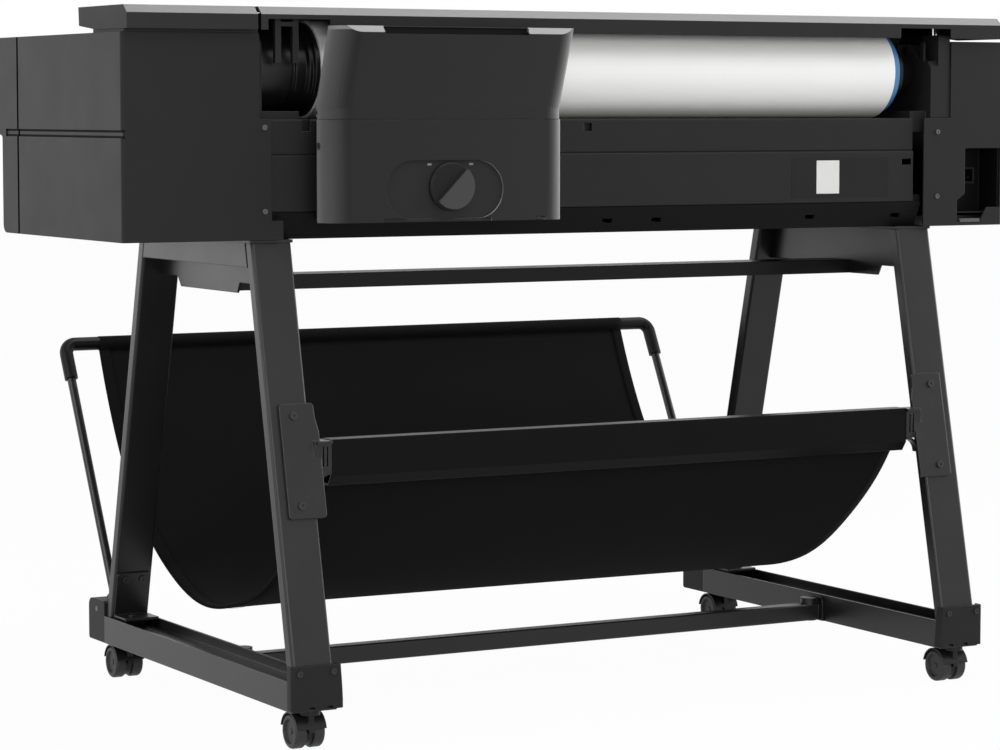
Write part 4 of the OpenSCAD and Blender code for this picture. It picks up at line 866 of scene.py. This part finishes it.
def walk(points, gap):
    """Evenly spaced places along the profile: point, direction, share of the length."""
    run, wanted, places = 0.0, gap, []
    for a, b in zip(points, points[1:]):
        piece = (b - a).length
        while wanted <= run + piece:
            places.append((a + (b - a) * ((wanted - run) / piece), (b - a).normalized()))
            wanted += gap
        run += piece
    return [(spot, along, k / (len(places) - 1)) for k, (spot, along) in enumerate(places)]


def stitch_rows(name, rows_x):
    points, faces = [], []
    size = Matrix.Diagonal((STITCH_W, STITCH, STITCH_W, 1))
    for x in rows_x:
        for spot, along, v in walk(profile, STITCH_STEP):
            across = Vector((-along.y, along.x))
            turn = Matrix.Rotation(math.atan2(along.y, along.x), 4, "X")
            waves = ripple((x - right_x) / width, v)
            for lift in (waves + CLOTH * 1.45, waves - CLOTH * 0.5):
                at = spot + across * lift
                pose = Matrix.Translation((x, at.x, at.y)) @ turn @ size
                first = len(points)
                points.extend(pose @ point for point in bead_points)
                faces.extend(tuple(first + k for k in face) for face in bead_faces)
    mesh = bpy.data.meshes.new(name)
    mesh.from_pydata(points, [], faces)
    for face in mesh.polygons:
        face.use_smooth = True
    return put(name, mesh)


ROWS_X = (right_x + HEM_W - FROM_HEM_EDGE, left_x - HEM_W + FROM_HEM_EDGE)
stitches = stitch_rows("sling_stitches", ROWS_X)
print("stitches", len(stitches.data.vertices), "points")

# %% [markdown]
# ## Cloth
#
# The cloth is made as a plain weave of thick black yarn. Two sets of waves at right angles, one along
# the width and one along the length, give the over and under of the yarns; the sling's own map is in
# metres, so the yarns keep their size round the curve. A trace of sheen lifts the fibres where they are
# seen edge on.

# %% Woven cloth
YARN = 0.0011


def yarn_wave(value):
    turns = value * (math.pi / YARN)
    return turns.maths("SINE", turns)


def woven(name, colour):
    finish = Finish(name)
    flat = finish.node("ShaderNodeUVMap")
    threads = 0.5 + 0.5 * (yarn_wave(axis(flat, "X")) * yarn_wave(axis(flat, "Y")))
    slub = noise(finish, 0.004, 3.0)
    cloud = noise(finish, 0.12, 3.0)
    shade = threads * 0.5 + slub * 0.3 + cloud * 0.2
    made_finishes[name] = finish.set(
        Base_Color=blend(finish, shade, scaled(colour, 0.55), scaled(colour, 1.4)),
        Roughness=0.85 + 0.1 * (slub - 0.5),
        Specular_IOR_Level=0.01,
        Sheen_Weight=0.02,
        Sheen_Roughness=0.5,
        Normal=finish.node("ShaderNodeBump", None, {"Strength": 0.6, "Distance": 0.0003, "Height": threads}),
    )
    return made_finishes[name]


cloth = woven("sling_fabric", (0.008, 0.008, 0.0085))
for piece in (sling, sleeve, *hems, stitches):
    piece.data.materials.append(cloth)
print("cloth made")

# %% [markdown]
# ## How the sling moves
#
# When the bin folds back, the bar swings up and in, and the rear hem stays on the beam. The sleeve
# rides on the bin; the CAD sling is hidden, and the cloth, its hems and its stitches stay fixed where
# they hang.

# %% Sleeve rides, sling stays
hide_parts("bin_sling")
for piece in (sling, *hems, stitches):
    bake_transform(piece)
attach(sleeve, "media_bin")

# %% [markdown]
# ## Rating plate and lock marks
#
# A few small things are printed or stuck on, so they are thinner than CAD would bother with: a blank
# rating plate on the lower rear panel, and two short marks that show where the lock knob points. A ray
# finds the surface underneath, so each lies exactly on it.

# %% Thin slabs
BEHIND = 1.0


def surface_y(node, x, z):
    """Where a ray from behind the machine meets the node."""
    spot = nodes[node].ray_cast(Vector((x, BEHIND, z)), Vector((0, -1, 0)))[1]
    return spot.y


def slab(name, x_range, z_range, y, thick, finish, body="frame"):
    """A flat block that reaches from y a little way to the rear."""
    (x0, x1), (z0, z1) = x_range, z_range
    bm = bmesh.new()
    bmesh.ops.create_cube(bm, size=1.0)
    bmesh.ops.scale(bm, vec=(x1 - x0, thick, z1 - z0), verts=bm.verts)
    bmesh.ops.translate(bm, vec=((x0 + x1) / 2, y + thick / 2, (z0 + z1) / 2), verts=bm.verts)
    mesh = bpy.data.meshes.new(name)
    bm.to_mesh(mesh)
    bm.free()
    mesh.materials.append(finish)
    made = put(name, mesh)
    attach(made, body)


def printed(name, colour, rough, lift):
    return moulded(name, colour, rough=rough, grain=0.0005, edge=0.0003, lift=lift)


print("slabs ready")

# %% [markdown]
# The plate is dark like the panel round it and has one pale field. The marks are as long as a grain of
# rice, one for each end of the knob's quarter turn.

# %% Plate and marks
PLATE_X, PLATE_Z = (roll_x - 0.446, roll_x - 0.278), (0.694, 0.75)
FIELD_X, FIELD_Z = (roll_x - 0.359, roll_x - 0.320), (0.699, 0.746)
PLATE_T, INK_T, MARK_T = 0.0003, 0.0001, 0.0002
MARK_SIDE, MARK_UP, MARK_HALF_W, MARK_HALF_H = 0.031, 0.029, 0.003, 0.0014

plate_black = printed("plate_black", (0.012, 0.012, 0.0125), 0.35, 1.6)
plate_pale = printed("plate_pale", (0.62, 0.62, 0.61), 0.5, 1.05)
mark_grey = printed("mark_grey", (0.2, 0.2, 0.2), 0.5, 1.05)
on_panel = surface_y("rear_lower_panel", sum(PLATE_X) / 2, sum(PLATE_Z) / 2)
slab("rating_plate", PLATE_X, PLATE_Z, on_panel, PLATE_T, plate_black)
slab("rating_plate_field", FIELD_X, FIELD_Z, on_panel + PLATE_T, INK_T, plate_pale)

knob_x, _, knob_z = middle("lock_knob")
mark_z = knob_z + MARK_UP
for name, x in (("lock_mark_open", knob_x + MARK_SIDE), ("lock_mark_shut", knob_x - MARK_SIDE)):
    on_feeder = surface_y("feeder_box", x, mark_z)
    mark_x = (x - MARK_HALF_W, x + MARK_HALF_W)
    slab(name, mark_x, (mark_z - MARK_HALF_H, mark_z + MARK_HALF_H), on_feeder, MARK_T, mark_grey)
print("plate, its field and two marks")

# %% [markdown]
# A strip of felt closes the gap under the front edge of the cover where it reaches past the roll bay.
# The picture does not show one, but without it the white background shines through. It is thin trim, so
# it is made here and not in CAD. It rides on the cover and swings with it.

# %% Felt under the cover
FELT_END, FELT_GAP, FELT_IN, FELT_T = 0.0062, 0.001, 0.0015, 0.002
FELT_BELOW_TOP = (0.0336, 0.0058)

felt = moulded(
    "cover_felt", (0.004, 0.004, 0.0042), rough=0.9, shine=0.03, grain=0.0012, depth=0.0003, edge=0.0006,
)
cover_low, cover_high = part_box("roll_cover")
felt_x = (cover_low[0] + FELT_END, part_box("roll_trough")[0][0] - FELT_GAP)
felt_z = below(cover_high[2], FELT_BELOW_TOP)
slab("cover_felt", felt_x, felt_z, cover_low[1] + FELT_IN, FELT_T, felt, "cover")
print("felt", round(felt_x[1] - felt_x[0], 3), "m long")

# %% [markdown]
# ## Studio
#
# The picture is a catalogue shot: white all round, soft light. A white floor would throw too much light
# on the dark underside, so there are two floors in one: rays from the camera and from mirrors see it
# almost white, with a small share left for the shadow, and all other rays see grey. The world is split
# in the same way, white to look at and dim as a light.

# %% Floor and world
FLOOR_HALF, FLOOR_Z = 20, -0.0005
WHITE_SHARE, AMBIENT = 0.97, 0.26
WHITE = (1, 1, 1, 1)


def seen_directly(graph):
    """1 for rays from the camera, from mirrors and through clear pieces."""
    names = ("Is Camera Ray", "Is Glossy Ray", "Is Transmission Ray")
    seen, mirror, clear = (graph.node("ShaderNodeLightPath", out=name) for name in names)
    return seen.maths("MAXIMUM", seen, mirror.maths("MAXIMUM", mirror, clear))


floor_mesh = bpy.data.meshes.new("floor")
corners = [(-1, -1), (1, -1), (1, 1), (-1, 1)]
floor_mesh.from_pydata([(x * FLOOR_HALF, y * FLOOR_HALF, 0) for x, y in corners], [], [(0, 1, 2, 3)])
floor = put("floor", floor_mesh)
floor.location.z = FLOOR_Z
pale = Finish("studio_floor")
floor_mesh.materials.append(pale.set(Base_Color=rgba((0.5, 0.5, 0.5)), Roughness=0.9))
glow = pale.node("ShaderNodeEmission", None, {"Color": WHITE, "Strength": 1.0})
pale.mix_over(seen_directly(pale) * WHITE_SHARE, glow)

world = bpy.data.worlds.new("studio")
bpy.context.scene.world = world
world.use_nodes = True
sky = Graph(world.node_tree)
background = sky.tree.nodes["Background"]
background.inputs["Color"].default_value = WHITE
sky.feed(background.inputs["Strength"], AMBIENT + (1 - AMBIENT) * seen_directly(sky))
print("floor and world ready")

# %% [markdown]
# Five soft boxes light the rest. A large one on the control-panel side makes that end the brightest
# face, a weak one lifts the front of that side, one overhead lights the roll and the bevel of its
# cover, one at the far side draws the right edges, and one far behind the machine fills its rear.

# %% Lamps
# Place, target, size and watts of each lamp.
LAMPS = {
    "key_side": ((3.8, 0.7, 1.7), (0.4, 0.2, 0.6), (2.4, 2.2), 68),
    "front_side": ((2.6, -3.0, 1.2), (0.4, 0.0, 0.6), (2.4, 2.0), 20),
    "overhead": ((-0.8, 0.7, 3.2), (-0.4, 0.4, 0.8), (3.8, 2.2), 110),
    "far_side": ((-4.0, 1.3, 1.5), (-0.4, 0.3, 0.7), (2.0, 2.0), 75),
    "rear_fill": ((1.0, 5.2, 1.4), (0.0, 0.2, 0.7), (3.4, 1.8), 88),
}


def softbox(name, spot, target, size, watts):
    lamp = bpy.data.lights.new(name, "AREA")
    lamp.shape = "RECTANGLE"
    lamp.size, lamp.size_y = size
    lamp.energy = watts
    box = put(name, lamp)
    box.location = spot
    box.rotation_euler = (Vector(target) - Vector(spot)).to_track_quat("-Z", "Y").to_euler()


for name, settings in LAMPS.items():
    softbox(name, *settings)
bpy.context.scene.view_settings.view_transform = "Standard"
print("lamps:", len(LAMPS))
